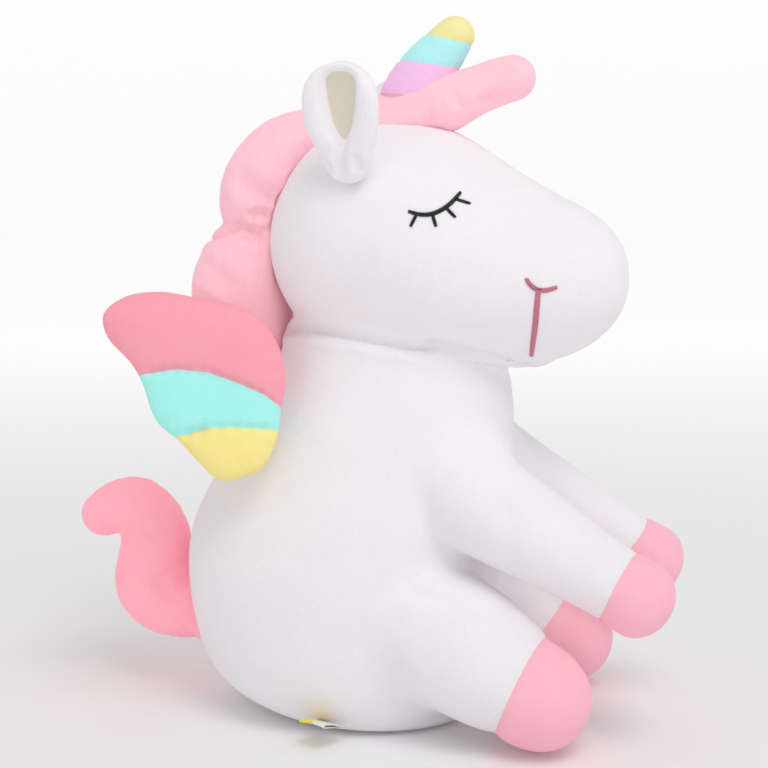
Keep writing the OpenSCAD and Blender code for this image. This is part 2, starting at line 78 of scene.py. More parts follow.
# ------------------------------------------------------------------ curves and fields
def smooth_line(P, m, closed=False):
    P = np.array(P, float)
    n = len(P)
    out = []
    for i in range(n if closed else n - 1):
        if closed:
            a, b, c, d = P[(i - 1) % n], P[i], P[(i + 1) % n], P[(i + 2) % n]
        else:
            a, b, c, d = P[max(i - 1, 0)], P[i], P[i + 1], P[min(i + 2, n - 1)]
        for k in range(m):
            t = k / m
            out.append(0.5 * (2 * b + (c - a) * t + (2 * a - 5 * b + 4 * c - d) * t * t + (3 * b - a - 3 * c + d) * t ** 3))
    if not closed:
        out.append(P[-1])
    return np.array(out)


def sstep(x, a, b):
    t = np.clip((x - a) / (b - a), 0, 1)
    return t * t * (3 - 2 * t)


def smin(a, b, k):
    h = np.clip(0.5 + 0.5 * (b - a) / k, 0, 1)
    return b * (1 - h) + a * h - k * h * (1 - h)


def smax(a, b, k):
    return -smin(-a, -b, k)


def ell(u, v, a, b):
    e = np.sqrt((u / a) ** 2 + (v / b) ** 2) + 1e-9
    g = np.sqrt((u / a ** 2) ** 2 + (v / b ** 2) ** 2) + 1e-9
    return e * (e - 1) / g


def torso_field(P):
    T = smooth_line(TORSO, 8)
    z = P[:, 2]
    c, a, b = (np.interp(z, T[:, 0], T[:, i]) for i in (1, 2, 3))
    d = ell(P[:, 0] - c, P[:, 1], a, b)
    d = smax(d, 0.3 - z, 2.5)
    return smax(d, z - 163, 6)


def head_field(P):
    T = smooth_line(HEAD, 8)
    T = T[np.argsort(T[:, 0])]
    x = P[:, 0]
    c, a, b = (np.interp(x, T[:, 0], T[:, i]) for i in (1, 2, 3))
    d = ell(P[:, 2] - c, P[:, 1], a, b)
    s = np.clip(np.interp(x, [-45, -43, -38, -10, 60, 90, 94, 96], [0.35, 0.5, 0.75, 1, 1, 0.75, 0.5, 0.35]), 0, 1)
    return np.maximum(d * s, np.maximum(-45 - x, x - 96))


def tube_field(P, rows, m=3, k0=0.6, k1=1.0):
    Q = smooth_line(rows, m)
    best = np.full(len(P), 1e3)
    n = len(Q) - 1
    for i in range(n):
        A, B = Q[i, :3], Q[i + 1, :3]
        d = B - A
        L2 = d @ d
        t = (P - A) @ d / L2
        lo, hi = (-9 if i == 0 else 0), (9 if i == n - 1 else 1)
        tc = np.clip(t, 0, 1)
        C = A + tc[:, None] * d
        T = d / math.sqrt(L2)
        N = np.cross([0, 1, 0], T)
        w = P - C
        rn = Q[i, 3] + tc * (Q[i + 1, 3] - Q[i, 3])
        ry = Q[i, 4] + tc * (Q[i + 1, 4] - Q[i, 4])
        ra = np.where((t < 0) & (i == 0), k0 * rn, np.where((t > 1) & (i == n - 1), k1 * rn, rn))
        a, b, c = w @ N, w[:, 1], w @ T
        e = np.sqrt((a / rn) ** 2 + (b / ry) ** 2 + (c / ra) ** 2) + 1e-9
        g = np.sqrt((a / rn ** 2) ** 2 + (b / ry ** 2) ** 2 + (c / ra ** 2) ** 2) + 1e-9
        best = np.minimum(best, e * (e - 1) / g)
    return best


def leg_rows(c, tilt, rows, splay, s):
    t = math.radians(tilt)
    return [[c[0] + q[0] * math.cos(t), s * (c[1] + (q[2] if len(q) > 2 else splay * q[0])), c[2] - q[0] * math.sin(t), q[1], q[1]] for q in rows]


def leg_field(P, rows, m=3, k1=0.86):
    Q = smooth_line(rows, m)
    best = np.full(len(P), 1e3)
    for i in range(len(Q) - 1):
        A, B = Q[i, :3], Q[i + 1, :3]
        d = B - A
        t = np.clip((P - A) @ d / (d @ d), 0, 1)
        w = P - (A + t[:, None] * d)
        r = Q[i, 3] + t * (Q[i + 1, 3] - Q[i, 3])
        if i == len(Q) - 2:
            T = d / np.linalg.norm(d)
            ax = np.maximum(w @ T, 0)
            w = w + np.outer(ax * (1 / k1 - 1), T)
        best = np.minimum(best, np.linalg.norm(w, axis=1) - r)
    return best


FRONT_SHAPE = [[-12, 20, 0], [0, 19, 0], [14, 17.6, 0.4], [32, 15.4, 1], [44, 14.3, 1.4], [50, 14.7, 1.6], [58, 15, 1.9]]
HIND_SHAPE = [[-14, 25], [0, 25.5], [12, 23.6], [21, 20.8], [27, 20.3], [31, 20.2], [34.6, 19]]
LEGS = {}
for _side, _s in (("left", 1), ("right", -1)):
    LEGS["front_leg_" + _side] = leg_rows(FRONT, 28.5, FRONT_SHAPE, 0, _s)
    LEGS["hind_leg_" + _side] = leg_rows(HIND, 27, HIND_SHAPE, 0.19, _s)


def body_field(P):
    t = torso_field(P)
    for n, rows in LEGS.items():
        R = np.array(rows)
        box = (P > R[:, :3].min(0) - 40).all(1) & (P < R[:, :3].max(0) + 40).all(1)
        d = np.full(len(P), 60.0)
        d[box] = leg_field(P[box], rows)
        if n.startswith("front"):
            under = sstep(P[:, 2] + 0.543 * (P[:, 0] - FRONT[0]) - FRONT[2], -16, 10)
            k = 3.5 + 13 * under
        else:
            under = sstep(P[:, 2] + 0.51 * (P[:, 0] - HIND[0]) - HIND[2], -10, 18)
            k = 9 - 4.0 * under
        t = smin(t, d, k)
    h = head_field(P)
    t = smin(t, h, 2.2)
    return smax(t, 0.25 - P[:, 2], 1.5)


# ------------------------------------------------------------------ meshing
def evaluate(field, lo, hi, h):
    n = [int(math.ceil((b - a) / h)) + 1 for a, b in zip(lo, hi)]
    ax = [lo[i] + h * np.arange(n[i]) for i in range(3)]
    F = np.empty(n, np.float32)
    for i in range(0, n[0], 12):
        X, Y, Z = np.meshgrid(ax[0][i:i + 12], ax[1], ax[2], indexing="ij")
        F[i:i + 12] = field(np.stack([X.ravel(), Y.ravel(), Z.ravel()], 1)).reshape(X.shape)
    return F


def nets(F, o, h):
    S = F < 0
    tot = sum(S[a:S.shape[0] - 1 + a, b:S.shape[1] - 1 + b, c:S.shape[2] - 1 + c].astype(np.int8) for a in (0, 1) for b in (0, 1) for c in (0, 1))
    act = (tot > 0) & (tot < 8)
    ijk = np.argwhere(act)
    idx = -np.ones(act.shape, np.int64)
    idx[act] = np.arange(len(ijk))
    acc, cnt = np.zeros((len(ijk), 3)), np.zeros(len(ijk))
    for x in range(3):
        u, v = (x + 1) % 3, (x + 2) % 3
        for b in (0, 1):
            for c in (0, 1):
                q = ijk.copy()
                q[:, u] += b
                q[:, v] += c
                f0 = F[tuple(q.T)].astype(float)
                q[:, x] += 1
                f1 = F[tuple(q.T)].astype(float)
                m = (f0 < 0) != (f1 < 0)
                t = f0[m] / (f0[m] - f1[m])
                p = np.zeros((m.sum(), 3))
                p[:, u], p[:, v], p[:, x] = b, c, t
                acc[m] += p
                cnt[m] += 1
    V = (ijk + acc / cnt[:, None]) * h + np.array(o)
    Q = []
    for x in range(3):
        u, v = (x + 1) % 3, (x + 2) % 3
        A = np.take(S, range(0, S.shape[x] - 1), axis=x)
        B = np.take(S, range(1, S.shape[x]), axis=x)
        e = np.argwhere(A != B)
        e = e[(e[:, u] > 0) & (e[:, v] > 0) & (e[:, u] < act.shape[u]) & (e[:, v] < act.shape[v])]
        out = A[tuple(e.T)]
        q = []
        for du, dv in ((-1, -1), (0, -1), (0, 0), (-1, 0)):
            c = e.copy()
            c[:, u] += du
            c[:, v] += dv
            q.append(idx[tuple(c.T)])
        q = np.stack(q, 1)
        q[~out] = q[~out][:, ::-1]
        Q.append(q)
    return V, np.concatenate(Q)


def sample(F, o, h, P):
    g = (P - np.array(o)) / h
    i = np.clip(np.floor(g).astype(int), 0, np.array(F.shape) - 2)
    f = g - i
    r = 0
    for a in (0, 1):
        for b in (0, 1):
            for c in (0, 1):
                w = (f[:, 0] if a else 1 - f[:, 0]) * (f[:, 1] if b else 1 - f[:, 1]) * (f[:, 2] if c else 1 - f[:, 2])
                r = r + w * F[i[:, 0] + a, i[:, 1] + b, i[:, 2] + c]
    return r


def edges_of(Fc):
    k = Fc.shape[1]
    e = np.concatenate([Fc[:, [i, (i + 1) % k]] for i in range(k)])
    return np.unique(np.sort(e, 1), axis=0)


def laplace(V, E, amount, times):
    n = len(V)
    deg = np.bincount(E.ravel(), minlength=n)[:, None]
    for _ in range(times):
        s = np.zeros_like(V)
        for c in range(3):
            s[:, c] = np.bincount(E[:, 0], V[E[:, 1], c], n) + np.bincount(E[:, 1], V[E[:, 0], c], n)
        V = V + amount * (s / np.maximum(deg, 1) - V)
    return V


def mesh_field(field, lo, hi, h, rounds=3):
    F = evaluate(field, lo, hi, h)
    V, Q = nets(F, lo, h)
    E = edges_of(Q)
    for _ in range(rounds):
        V = laplace(V, E, 0.5, 1)
        e = 0.4 * h
        G = np.stack([sample(F, lo, h, V + d) - sample(F, lo, h, V - d) for d in np.eye(3) * e], 1) / (2 * e)
        f = sample(F, lo, h, V)
        V = V - G * (f / np.maximum((G ** 2).sum(1), 0.05))[:, None]
    T = np.concatenate([Q[:, [0, 1, 2]], Q[:, [0, 2, 3]]])
    return V, T


def normals(V, T):
    n = np.cross(V[T[:, 1]] - V[T[:, 0]], V[T[:, 2]] - V[T[:, 0]])
    N = np.zeros_like(V)
    for k in range(3):
        for c in range(3):
            N[:, c] += np.bincount(T[:, k], n[:, c], len(V))
    return N / np.maximum(np.linalg.norm(N, axis=1), 1e-12)[:, None]


def cut(V, T, s, extra=()):
    """Splits the triangles where s changes sign. Returns V, T, s and the extra per-vertex arrays."""
    s = np.where(np.abs(s) < 1e-5, 1e-5, s)
    a = s[T] > 0
    c = a.sum(1)
    mixed = (c == 1) | (c == 2)
    M, am, cm = T[mixed], a[mixed], c[mixed]
    lone = np.where(cm == 1, am.argmax(1), (~am).argmax(1))
    r = np.arange(len(M))
    p, q, w = M[r, lone], M[r, (lone + 1) % 3], M[r, (lone + 2) % 3]
    pairs = np.sort(np.concatenate([np.stack([p, q], 1), np.stack([p, w], 1)]), 1)
    uniq, inv = np.unique(pairs, axis=0, return_inverse=True)
    inv = inv.ravel()
    t = (s[uniq[:, 0]] / (s[uniq[:, 0]] - s[uniq[:, 1]]))[:, None]
    base = len(V)
    V2 = np.concatenate([V, V[uniq[:, 0]] * (1 - t) + V[uniq[:, 1]] * t])
    ex = [np.concatenate([x, (x[uniq[:, 0]].T * (1 - t[:, 0]) + x[uniq[:, 1]].T * t[:, 0]).T]) for x in extra]
    pq, pw = base + inv[:len(M)], base + inv[len(M):]
    new = np.concatenate([np.stack([p, pq, pw], 1), np.stack([pq, q, w], 1), np.stack([pq, w, pw], 1)])
    side = np.concatenate([s[p] > 0, s[q] > 0, s[q] > 0])
    T2 = np.concatenate([T[~mixed], new])
    side2 = np.concatenate([c[~mixed] == 3, side])
    return V2, T2, side2, ex


def line_distance(P, L):
    best = np.full(len(P), 1e9)
    where = np.zeros(len(P))
    run = 0.0
    for A, B in zip(L[:-1], L[1:]):
        d = B - A
        ln = np.linalg.norm(d)
        t = np.clip((P - A) @ d / max(d @ d, 1e-9), 0, 1)
        r = np.linalg.norm(P - (A + t[:, None] * d), axis=1)
        m = r < best
        best[m] = r[m]
        where[m] = run + t[m] * ln
        run += ln
    return best, where, run


def press(V, N, L, depth, width, lip=0.25, ends=True, snap=None):
    """A soft crease along the points L: pushes the surface in, with a slight lip each side."""
    L = smooth_line(L, 5)
    if snap is not None:
        L = np.array([np.array(snap.find_nearest(Vector(p))[0]) for p in L])
    d, at, total = line_distance(V, L)
    e = sstep(at, 0, 0.28 * total) * sstep(total - at, 0, 0.28 * total) if ends else 1.0
    amount = -depth * np.exp(-(d / width) ** 2) + lip * depth * np.exp(-((d - 2.1 * width) / width) ** 2)
    return V + N * (amount * e)[:, None]


def groove(V, N, s, depth, width, pucker=0.0, along=None, pitch=4.0):
    """A sewn seam where s is 0: a narrow valley with small gathers along it."""
    a = -depth * np.exp(-(s / width) ** 2)
    if pucker:
        a = a - pucker * np.exp(-(np.abs(s) / (3.2 * width)) ** 2) * (0.5 + 0.5 * np.cos(2 * np.pi * along / pitch + 0.9 * np.sin(along / 7.3)))
    return V + N * a[:, None]


def stuff(V, T, pin, gather, amount, pressure, most, frames=20):
    """Cloth simulation of a stuffed cover: pressure from inside, pinned where it is sewn on (pin 1), drawn in along
    its gathers and seams (gather 1). The result is applied to the points, and no point moves further than most."""
    me = bpy.data.meshes.new("sim")
    me.from_pydata((V * MM).tolist(), [], T.tolist())
    ob = bpy.data.objects.new("sim", me)
    bpy.context.scene.collection.objects.link(ob)
    for name, w in (("pin", pin), ("gather", gather)):
        g = ob.vertex_groups.new(name=name)
        lv = np.round(np.clip(w, 0, 1) * 10).astype(int)
        for k in range(1, 11):
            idx = np.nonzero(lv == k)[0].tolist()
            if idx:
                g.add(idx, k / 10, "REPLACE")
    m = ob.modifiers.new("cloth", "CLOTH")
    c = m.settings
    c.quality = 5
    c.mass = 0.01
    c.air_damping = 5.0
    c.tension_stiffness = c.compression_stiffness = c.shear_stiffness = 15.0
    c.bending_stiffness = 0.02
    c.use_pressure = True
    c.uniform_pressure_force = pressure
    c.effector_weights.gravity = 0
    c.vertex_group_mass = "pin"
    c.vertex_group_shrink = "gather"
    c.shrink_min, c.shrink_max = 0.0, amount
    m.collision_settings.use_collision = False
    m.collision_settings.use_self_collision = False
    m.point_cache.frame_start, m.point_cache.frame_end = 1, frames
    for f in range(1, frames + 1):
        bpy.context.scene.frame_set(f)
    ev = ob.evaluated_get(bpy.context.evaluated_depsgraph_get())
    got = ev.to_mesh()
    W = np.empty(len(V) * 3, np.float32)
    got.vertices.foreach_get("co", W)
    W = W.reshape(-1, 3).astype(float) / MM
    ev.to_mesh_clear()
    bpy.context.scene.frame_set(1)
    bpy.data.objects.remove(ob)
    bpy.data.meshes.remove(me)
    W = np.where(np.isfinite(W), W, V)
    d = W - V
    L = np.linalg.norm(d, axis=1)
    return V + d * (most * np.tanh(L / most) / np.maximum(L, 1e-9))[:, None]


# ------------------------------------------------------------------ Blender objects
def make(name, V, T, mat, N=None):
    used = np.unique(T)
    back = -np.ones(len(V), np.int64)
    back[used] = np.arange(len(used))
    V2, T2 = V[used] * MM, back[T]
    me = bpy.data.meshes.new(name)
    me.vertices.add(len(V2))
    me.vertices.foreach_set("co", V2.astype(np.float32).ravel())
    k = T2.shape[1]
    me.loops.add(T2.size)
    me.loops.foreach_set("vertex_index", T2.astype(np.int32).ravel())
    me.polygons.add(len(T2))
    me.polygons.foreach_set("loop_start", (np.arange(len(T2)) * k).astype(np.int32))
    me.polygons.foreach_set("loop_total", np.full(len(T2), k, np.int32))
    me.update(calc_edges=True)
    me.validate()
    me.polygons.foreach_set("use_smooth", np.ones(len(me.polygons), bool))
    if N is not None:
        me.normals_split_custom_set_from_vertices(N[used].astype(float).tolist())
    ob = bpy.data.objects.new(name, me)
    bpy.context.scene.collection.objects.link(ob)
    me.materials.append(mat)
    return ob


def lin(c):
    c = np.array(c, float) / 255
    return tuple(np.where(c <= 0.04045, c / 12.92, ((c + 0.055) / 1.055) ** 2.4)) + (1.0,)


def velour(name, rgb, deep, sheen=0.35, tint=None, pile=1.0, painted_glow=0.0):
    """Short-pile stretch velour: soft colour patches where the pile lies over, fine pile, a light sheen and an optional
    painted glow that lightens shaded folds.
    """
    m = bpy.data.materials.new(name)
    m.use_nodes = True
    nt = m.node_tree
    b = nt.nodes["Principled BSDF"]
    co = nt.nodes.new("ShaderNodeTexCoord")
    big = nt.nodes.new("ShaderNodeTexNoise")
    big.inputs["Scale"].default_value = 55
    big.inputs["Detail"].default_value = 4
    fine = nt.nodes.new("ShaderNodeTexNoise")
    fine.inputs["Scale"].default_value = 1500
    fine.inputs["Detail"].default_value = 3
    mid = nt.nodes.new("ShaderNodeTexNoise")
    mid.inputs["Scale"].default_value = 420
    mid.inputs["Detail"].default_value = 3
    for t in (big, fine, mid):
        nt.links.new(co.outputs["Object"], t.inputs["Vector"])
    r1 = nt.nodes.new("ShaderNodeMapRange")
    r1.inputs["From Min"].default_value, r1.inputs["From Max"].default_value = 0.3, 0.7
    r1.inputs["To Min"].default_value, r1.inputs["To Max"].default_value = 0.0, 0.16
    nt.links.new(big.outputs["Fac"], r1.inputs["Value"])
    r2 = nt.nodes.new("ShaderNodeMapRange")
    r2.inputs["From Min"].default_value, r2.inputs["From Max"].default_value = 0.3, 0.75
    r2.inputs["To Min"].default_value, r2.inputs["To Max"].default_value = 0.0, 0.22
    nt.links.new(fine.outputs["Fac"], r2.inputs["Value"])
    add = nt.nodes.new("ShaderNodeMath")
    add.operation = "ADD"
    nt.links.new(r1.outputs["Result"], add.inputs[0])
    nt.links.new(r2.outputs["Result"], add.inputs[1])
    mix = nt.nodes.new("ShaderNodeMix")
    mix.data_type = "RGBA"
    mix.inputs["A"].default_value = lin(rgb)
    mix.inputs["B"].default_value = lin(deep)
    nt.links.new(add.outputs["Value"], mix.inputs["Factor"])
    nt.links.new(mix.outputs["Result"], b.inputs["Base Color"])
    b1 = nt.nodes.new("ShaderNodeBump")
    b1.inputs["Strength"].default_value = 0.35 * pile
    b1.inputs["Distance"].default_value = 0.0003
    nt.links.new(fine.outputs["Fac"], b1.inputs["Height"])
    b2 = nt.nodes.new("ShaderNodeBump")
    b2.inputs["Strength"].default_value = 0.3 * pile
    b2.inputs["Distance"].default_value = 0.0006
    nt.links.new(mid.outputs["Fac"], b2.inputs["Height"])
    nt.links.new(b1.outputs["Normal"], b2.inputs["Normal"])
    nt.links.new(b2.outputs["Normal"], b.inputs["Normal"])
    b.inputs["Roughness"].default_value = 0.92
    b.inputs["Specular IOR Level"].default_value = 0.15
    b.inputs["Sheen Weight"].default_value = sheen
    b.inputs["Sheen Roughness"].default_value = 0.45
    b.inputs["Sheen Tint"].default_value = lin(tint or (255, 250, 250))
    b.inputs["Subsurface Weight"].default_value = 0.0
    if painted_glow:  # painted light: the fabric glows faintly in its deep colour so its shaded folds stay bright and warm
        b.inputs["Emission Color"].default_value = lin(deep)
        b.inputs["Emission Strength"].default_value = painted_glow
    return m


def thread_mat(name, rgb, deep):
    m = bpy.data.materials.new(name)
    m.use_nodes = True
    nt = m.node_tree
    b = nt.nodes["Principled BSDF"]
    co = nt.nodes.new("ShaderNodeTexCoord")
    n = nt.nodes.new("ShaderNodeTexNoise")
    n.inputs["Scale"].default_value = 900
    nt.links.new(co.outputs["Object"], n.inputs["Vector"])
    mix = nt.nodes.new("ShaderNodeMix")
    mix.data_type = "RGBA"
    mix.inputs["A"].default_value = lin(rgb)
    mix.inputs["B"].default_value = lin(deep)
    nt.links.new(n.outputs["Fac"], mix.inputs["Factor"])
    nt.links.new(mix.outputs["Result"], b.inputs["Base Color"])
    b.inputs["Roughness"].default_value = 0.42
    b.inputs["Sheen Weight"].default_value = 0.1
    return m


MAT = {
    "white": velour("velour_white", (247, 244, 247), (232, 226, 231), 0.30),
    # the pink, tail and hoof velours carry a painted glow: a faint emission that lifts their shaded folds
    "pink": velour("velour_pink", (255, 206, 216), (255, 180, 194), 0.35, (255, 228, 234), painted_glow=0.09),
    "tail": velour("velour_pink_tail", (255, 182, 196), (255, 150, 170), 0.35, (255, 225, 232), painted_glow=0.2),
    "hoof": velour("velour_hoof", (255, 194, 207), (252, 164, 182), 0.35, (255, 225, 232), painted_glow=0.05),
    "coral": velour("velour_coral", (255, 170, 184), (249, 148, 166), 0.3, (255, 215, 222)),
    "horn_coral": velour("velour_salmon", (250, 182, 190), (240, 158, 170), 0.3, (255, 220, 226)),
    "lilac": velour("velour_lilac", (253, 204, 244), (244, 182, 232), 0.35, (255, 230, 250)),
    "mint": velour("velour_mint", (176, 250, 244), (150, 238, 230), 0.35, (230, 255, 250)),
    "horn_mint": velour("velour_mint_pale", (188, 248, 247), (162, 236, 236), 0.35, (230, 255, 250)),
    "yellow": velour("velour_yellow", (254, 238, 156), (247, 226, 130), 0.3, (255, 250, 220)),
    "horn_yellow": velour("velour_lemon", (246, 240, 172), (236, 228, 144), 0.3, (255, 250, 220)),
    "cream": velour("velour_cream", (230, 221, 208), (212, 201, 186), 0.25),
    "black": thread_mat("thread_black", (26, 25, 30), (10, 10, 14)),
    "rose": thread_mat("thread_rose", (222, 142, 160), (202, 116, 138)),
    "sew": thread_mat("thread_white", (240, 236, 240), (220, 214, 220)),
    "pinkthread": thread_mat("thread_pink", (232, 128, 150), (214, 106, 130)),
}


def piece(name, V, T, mat, replaces=(), body=None, blend=None, N=None):
    ob = make(name, V, T, MAT[mat], N)
    if replaces:
        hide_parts(*replaces)
    if blend:
        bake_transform(ob)
    else:
        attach(ob, body)
    return ob


def tubes(lines, r, sides=5):
    """Thin round threads along short polylines, closed at both ends. r is a number or one radius per point."""
    Vs, Ts, base = [], [], 0
    for L in lines:
        L = np.asarray(L, float)
        n = len(L)
        T = np.gradient(L, axis=0)
        T /= np.linalg.norm(T, axis=1)[:, None] + 1e-12
        ref = np.array([0.31, 0.17, 0.93])
        A = np.cross(T, ref)
        A /= np.linalg.norm(A, axis=1)[:, None]
        B = np.cross(T, A)
        ang = 2 * np.pi * np.arange(sides) / sides
        rr = np.broadcast_to(r, (n,)) * np.concatenate([[0.45], np.ones(n - 2), [0.45]]) if n > 2 else np.broadcast_to(r, (n,))
        ring = L[:, None, :] + rr[:, None, None] * (A[:, None, :] * np.cos(ang)[None, :, None] + B[:, None, :] * np.sin(ang)[None, :, None])
        V = np.concatenate([ring.reshape(-1, 3), L[:1], L[-1:]])
        i = np.arange(n - 1)[:, None] * sides
        j = np.arange(sides)[None, :]
        k = (j + 1) % sides
        a, b, c, d = (i + j).ravel(), (i + k).ravel(), (i + sides + k).ravel(), (i + sides + j).ravel()
        t = [np.stack([a, d, c], 1), np.stack([a, c, b], 1)]
        jj, kk = np.arange(sides), (np.arange(sides) + 1) % sides
        t.append(np.stack([np.full(sides, n * sides), jj, kk], 1))
        t.append(np.stack([np.full(sides, n * sides + 1), (n - 1) * sides + kk, (n - 1) * sides + jj], 1))
        t = np.concatenate(t)
        Vs.append(V)
        Ts.append(t + base)
        base += len(V)
    return np.concatenate(Vs), np.concatenate(Ts)


def satin(points, width, tree, out_dir, pitch=0.36, r=0.2, rise=0.55, taper=0.35):
    """Satin stitch: threads laid side by side across a line that lies on the surface."""
    L = smooth_line(points, 12)
    seg = np.linalg.norm(np.diff(L, axis=0), axis=1)
    run = np.concatenate([[0], np.cumsum(seg)])
    n = max(3, int(run[-1] / pitch))
    lines = []
    for i in range(n + 1):
        u = run[-1] * i / n
        c = np.array([np.interp(u, run, L[:, k]) for k in range(3)])
        c2 = np.array([np.interp(min(u + 0.4, run[-1]), run, L[:, k]) for k in range(3)])
        c1 = np.array([np.interp(max(u - 0.4, 0), run, L[:, k]) for k in range(3)])
        hit = tree.ray_cast(Vector(c + out_dir * 20), Vector(-out_dir))
        if hit[0] is None:
            continue
        c, nn = np.array(hit[0]), np.array(hit[1])
        if nn @ out_dir < 0:
            nn = -nn
        t = (c2 - c1)
        t -= nn * (t @ nn)
        t /= np.linalg.norm(t)
        b = np.cross(nn, t)
        e = min(1.0, taper + (1 - taper) * math.sin(math.pi * min(1, max(0, (u + 0.3) / (run[-1] + 0.6)))) ** 0.35)
        w = width * e / 2 * (1 + 0.05 * math.sin(i * 2.4))
        lean = t * 0.18 * w
        lines.append([c - b * w - lean - nn * 0.25, c - b * w * 0.72 - lean * 0.72 + nn * rise * 0.55, c + nn * rise, c + b * w * 0.72 + lean * 0.72 + nn * rise * 0.55, c + b * w + lean - nn * 0.25])
    return tubes(lines, r)


def merge(parts):
    Vs, Ts, n = [], [], 0
    for V, T in parts:
        Vs.append(V)
        Ts.append(T + n)
        n += len(V)
    return np.concatenate(Vs), np.concatenate(Ts)


H_BODY = 1.8

# ------------------------------------------------------------------ white body: torso, head, neck and legs as one sewn surface
V, T = mesh_field(body_field, (-92, -72, -4), (128, 72, 242), H_BODY)
N = normals(V, T)
tree0 = BVHTree.FromPolygons((V).tolist(), T.tolist())

# soft creases where the limbs and the head are sewn on
for s in (1, -1):
    V = press(V, N, [[50, s * 40, 99], [58, s * 44, 90], [57, s * 42, 78], [49, s * 42, 70]], 0.9, 3.2, 0.3, snap=tree0)
    V = press(V, N, [[18, s * 50, 66], [30, s * 52, 62], [44, s * 50, 58], [56, s * 44, 52]], 1.1, 3.0, 0.35, snap=tree0)
    V = press(V, N, [[30, s * 50, 12], [22, s * 52, 24], [16, s * 52, 40]], 0.7, 4.0, 0.3, snap=tree0)
    V = press(V, N, [[62, s * 4, 142], [54, s * 15, 143.5], [43, s * 25, 146.5], [28, s * 33, 149.5], [10, s * 36, 152], [-10, s * 33, 154.6], [-28, s * 27, 156], [-42, s * 16, 156]], 2.2, 1.9, 0.45, False, snap=tree0)
# the seam along the middle of the head, belly and back
V = groove(V, N, V[:, 1], 0.45, 1.0)
# hoof seams
HOOF = {}
for n, rows in LEGS.items():
    front = n.startswith("front")
    s = 1 if n.endswith("left") else -1
    tilt = math.radians(28.5 if front else 27)
    d = np.array([math.cos(tilt), 0, -math.sin(tilt)])
    c = (FRONT if front else HIND) * np.array([1, s, 1]) + d * (48 if front else 24)
    near = leg_field(V, rows) < 6
    q = (V - c) @ d
    # the hoof's edge dips a little on top
    rel = V - c
    q = q + (0.9 if front else 1.2) * np.sin(np.arctan2(rel[:, 2], s * rel[:, 1]) * 2 + 0.6)
    q = np.where(near & (V[:, 0] > 52), q, -50)
    ang = np.arctan2(rel[:, 2], rel[:, 1]) * 15
    V = groove(V, N, np.where(q > -20, q, 50), 0.7, 1.1, 0.25, ang, 3.7)
    HOOF[n] = q
N = normals(V, T)

# the head meets the neck along a plane that drops toward the chin; S is the height above it
NN = np.array([0.123, 0, 0.992])
NN /= np.linalg.norm(NN)
NC = np.array([3, 0, 149.5])
S = (V - NC) @ NN
for level in (-24.0, -9.5, 0.0):
    V, T, _, ex = cut(V, T, S - level, [N, S] + [HOOF[n] for n in LEGS])
    N, S = ex[0], ex[1]
    for n, x in zip(LEGS, ex[2:]):
        HOOF[n] = x
N /= np.maximum(np.linalg.norm(N, axis=1), 1e-9)[:, None]

# one label per vertex set: which piece each triangle belongs to
front_t = V[:, 0] - 58.5
blend_of = {}
lab = np.zeros(len(T), int)
NAMES = ["torso"]
hind_d = {s: np.array([0.72, s * 0.62, -0.31]) / np.linalg.norm([0.72, 0.62, -0.31]) for s in (1, -1)}
field_of = {n: leg_field(V, rows) for n, rows in LEGS.items()}
arr = np.stack([field_of[n] for n in LEGS], 1)
closest = arr.argmin(1)
keys = list(LEGS)
for i, n in enumerate(keys):
    s = 1 if n.endswith("left") else -1
    if n.startswith("front"):
        t = front_t
        blend_of[n] = ("torso", n, (58.5, 0, 0), (80, 0, 0))
    else:
        c = HIND * np.array([1, s, 1])
        t = (V - c) @ hind_d[s] - 1.0
        blend_of[n] = ("torso", n, c + hind_d[s] * 1.0, c + hind_d[s] * 19.5)
    other = "hind" if n.startswith("front") else "front"
    mine = (t > 0) & (V[:, 1] * s > 0) & (V[:, 2] < 125) & (closest == i)
    NAMES.append(n)
    lab[mine[T].any(1)] = len(NAMES) - 1
St = S[T].mean(1)
lab[(lab == 0) & (St > -24)] = 10
lab[(lab == 10) & (St > -9.5)] = 11
lab[(lab == 11) & (St > 0)] = 12
LOWER = ("torso", "neck", NC - NN * 24, NC - NN * 10)
UPPER = ("neck", "head", NC - NN * 9, NC)

def flange(V, T, N, on, inward, up):
    """Adds a strip of seam allowance along the edge where on is true, turned in under the next piece."""
    e = np.concatenate([T[:, [0, 1]], T[:, [1, 2]], T[:, [2, 0]]])
    key = np.sort(e, 1)
    _, first, count = np.unique(key, axis=0, return_index=True, return_counts=True)
    e = e[first[count == 1]]
    e = e[on[e].all(1)]
    ids = np.unique(e)
    back = -np.ones(len(V), np.int64)
    back[ids] = len(V) + np.arange(len(ids))
    V2 = np.concatenate([V, V[ids] - N[ids] * inward + up])
    N2 = np.concatenate([N, N[ids]])
    a, b = e[:, 0], e[:, 1]
    return V2, np.concatenate([T, np.stack([b, a, back[a]], 1), np.stack([b, back[a], back[b]], 1)]), N2


# cut the left and right panels and the hooves; labels follow by position in the face list
def split_piece(sel, s):
    return cut(V, T[sel], s, [N])


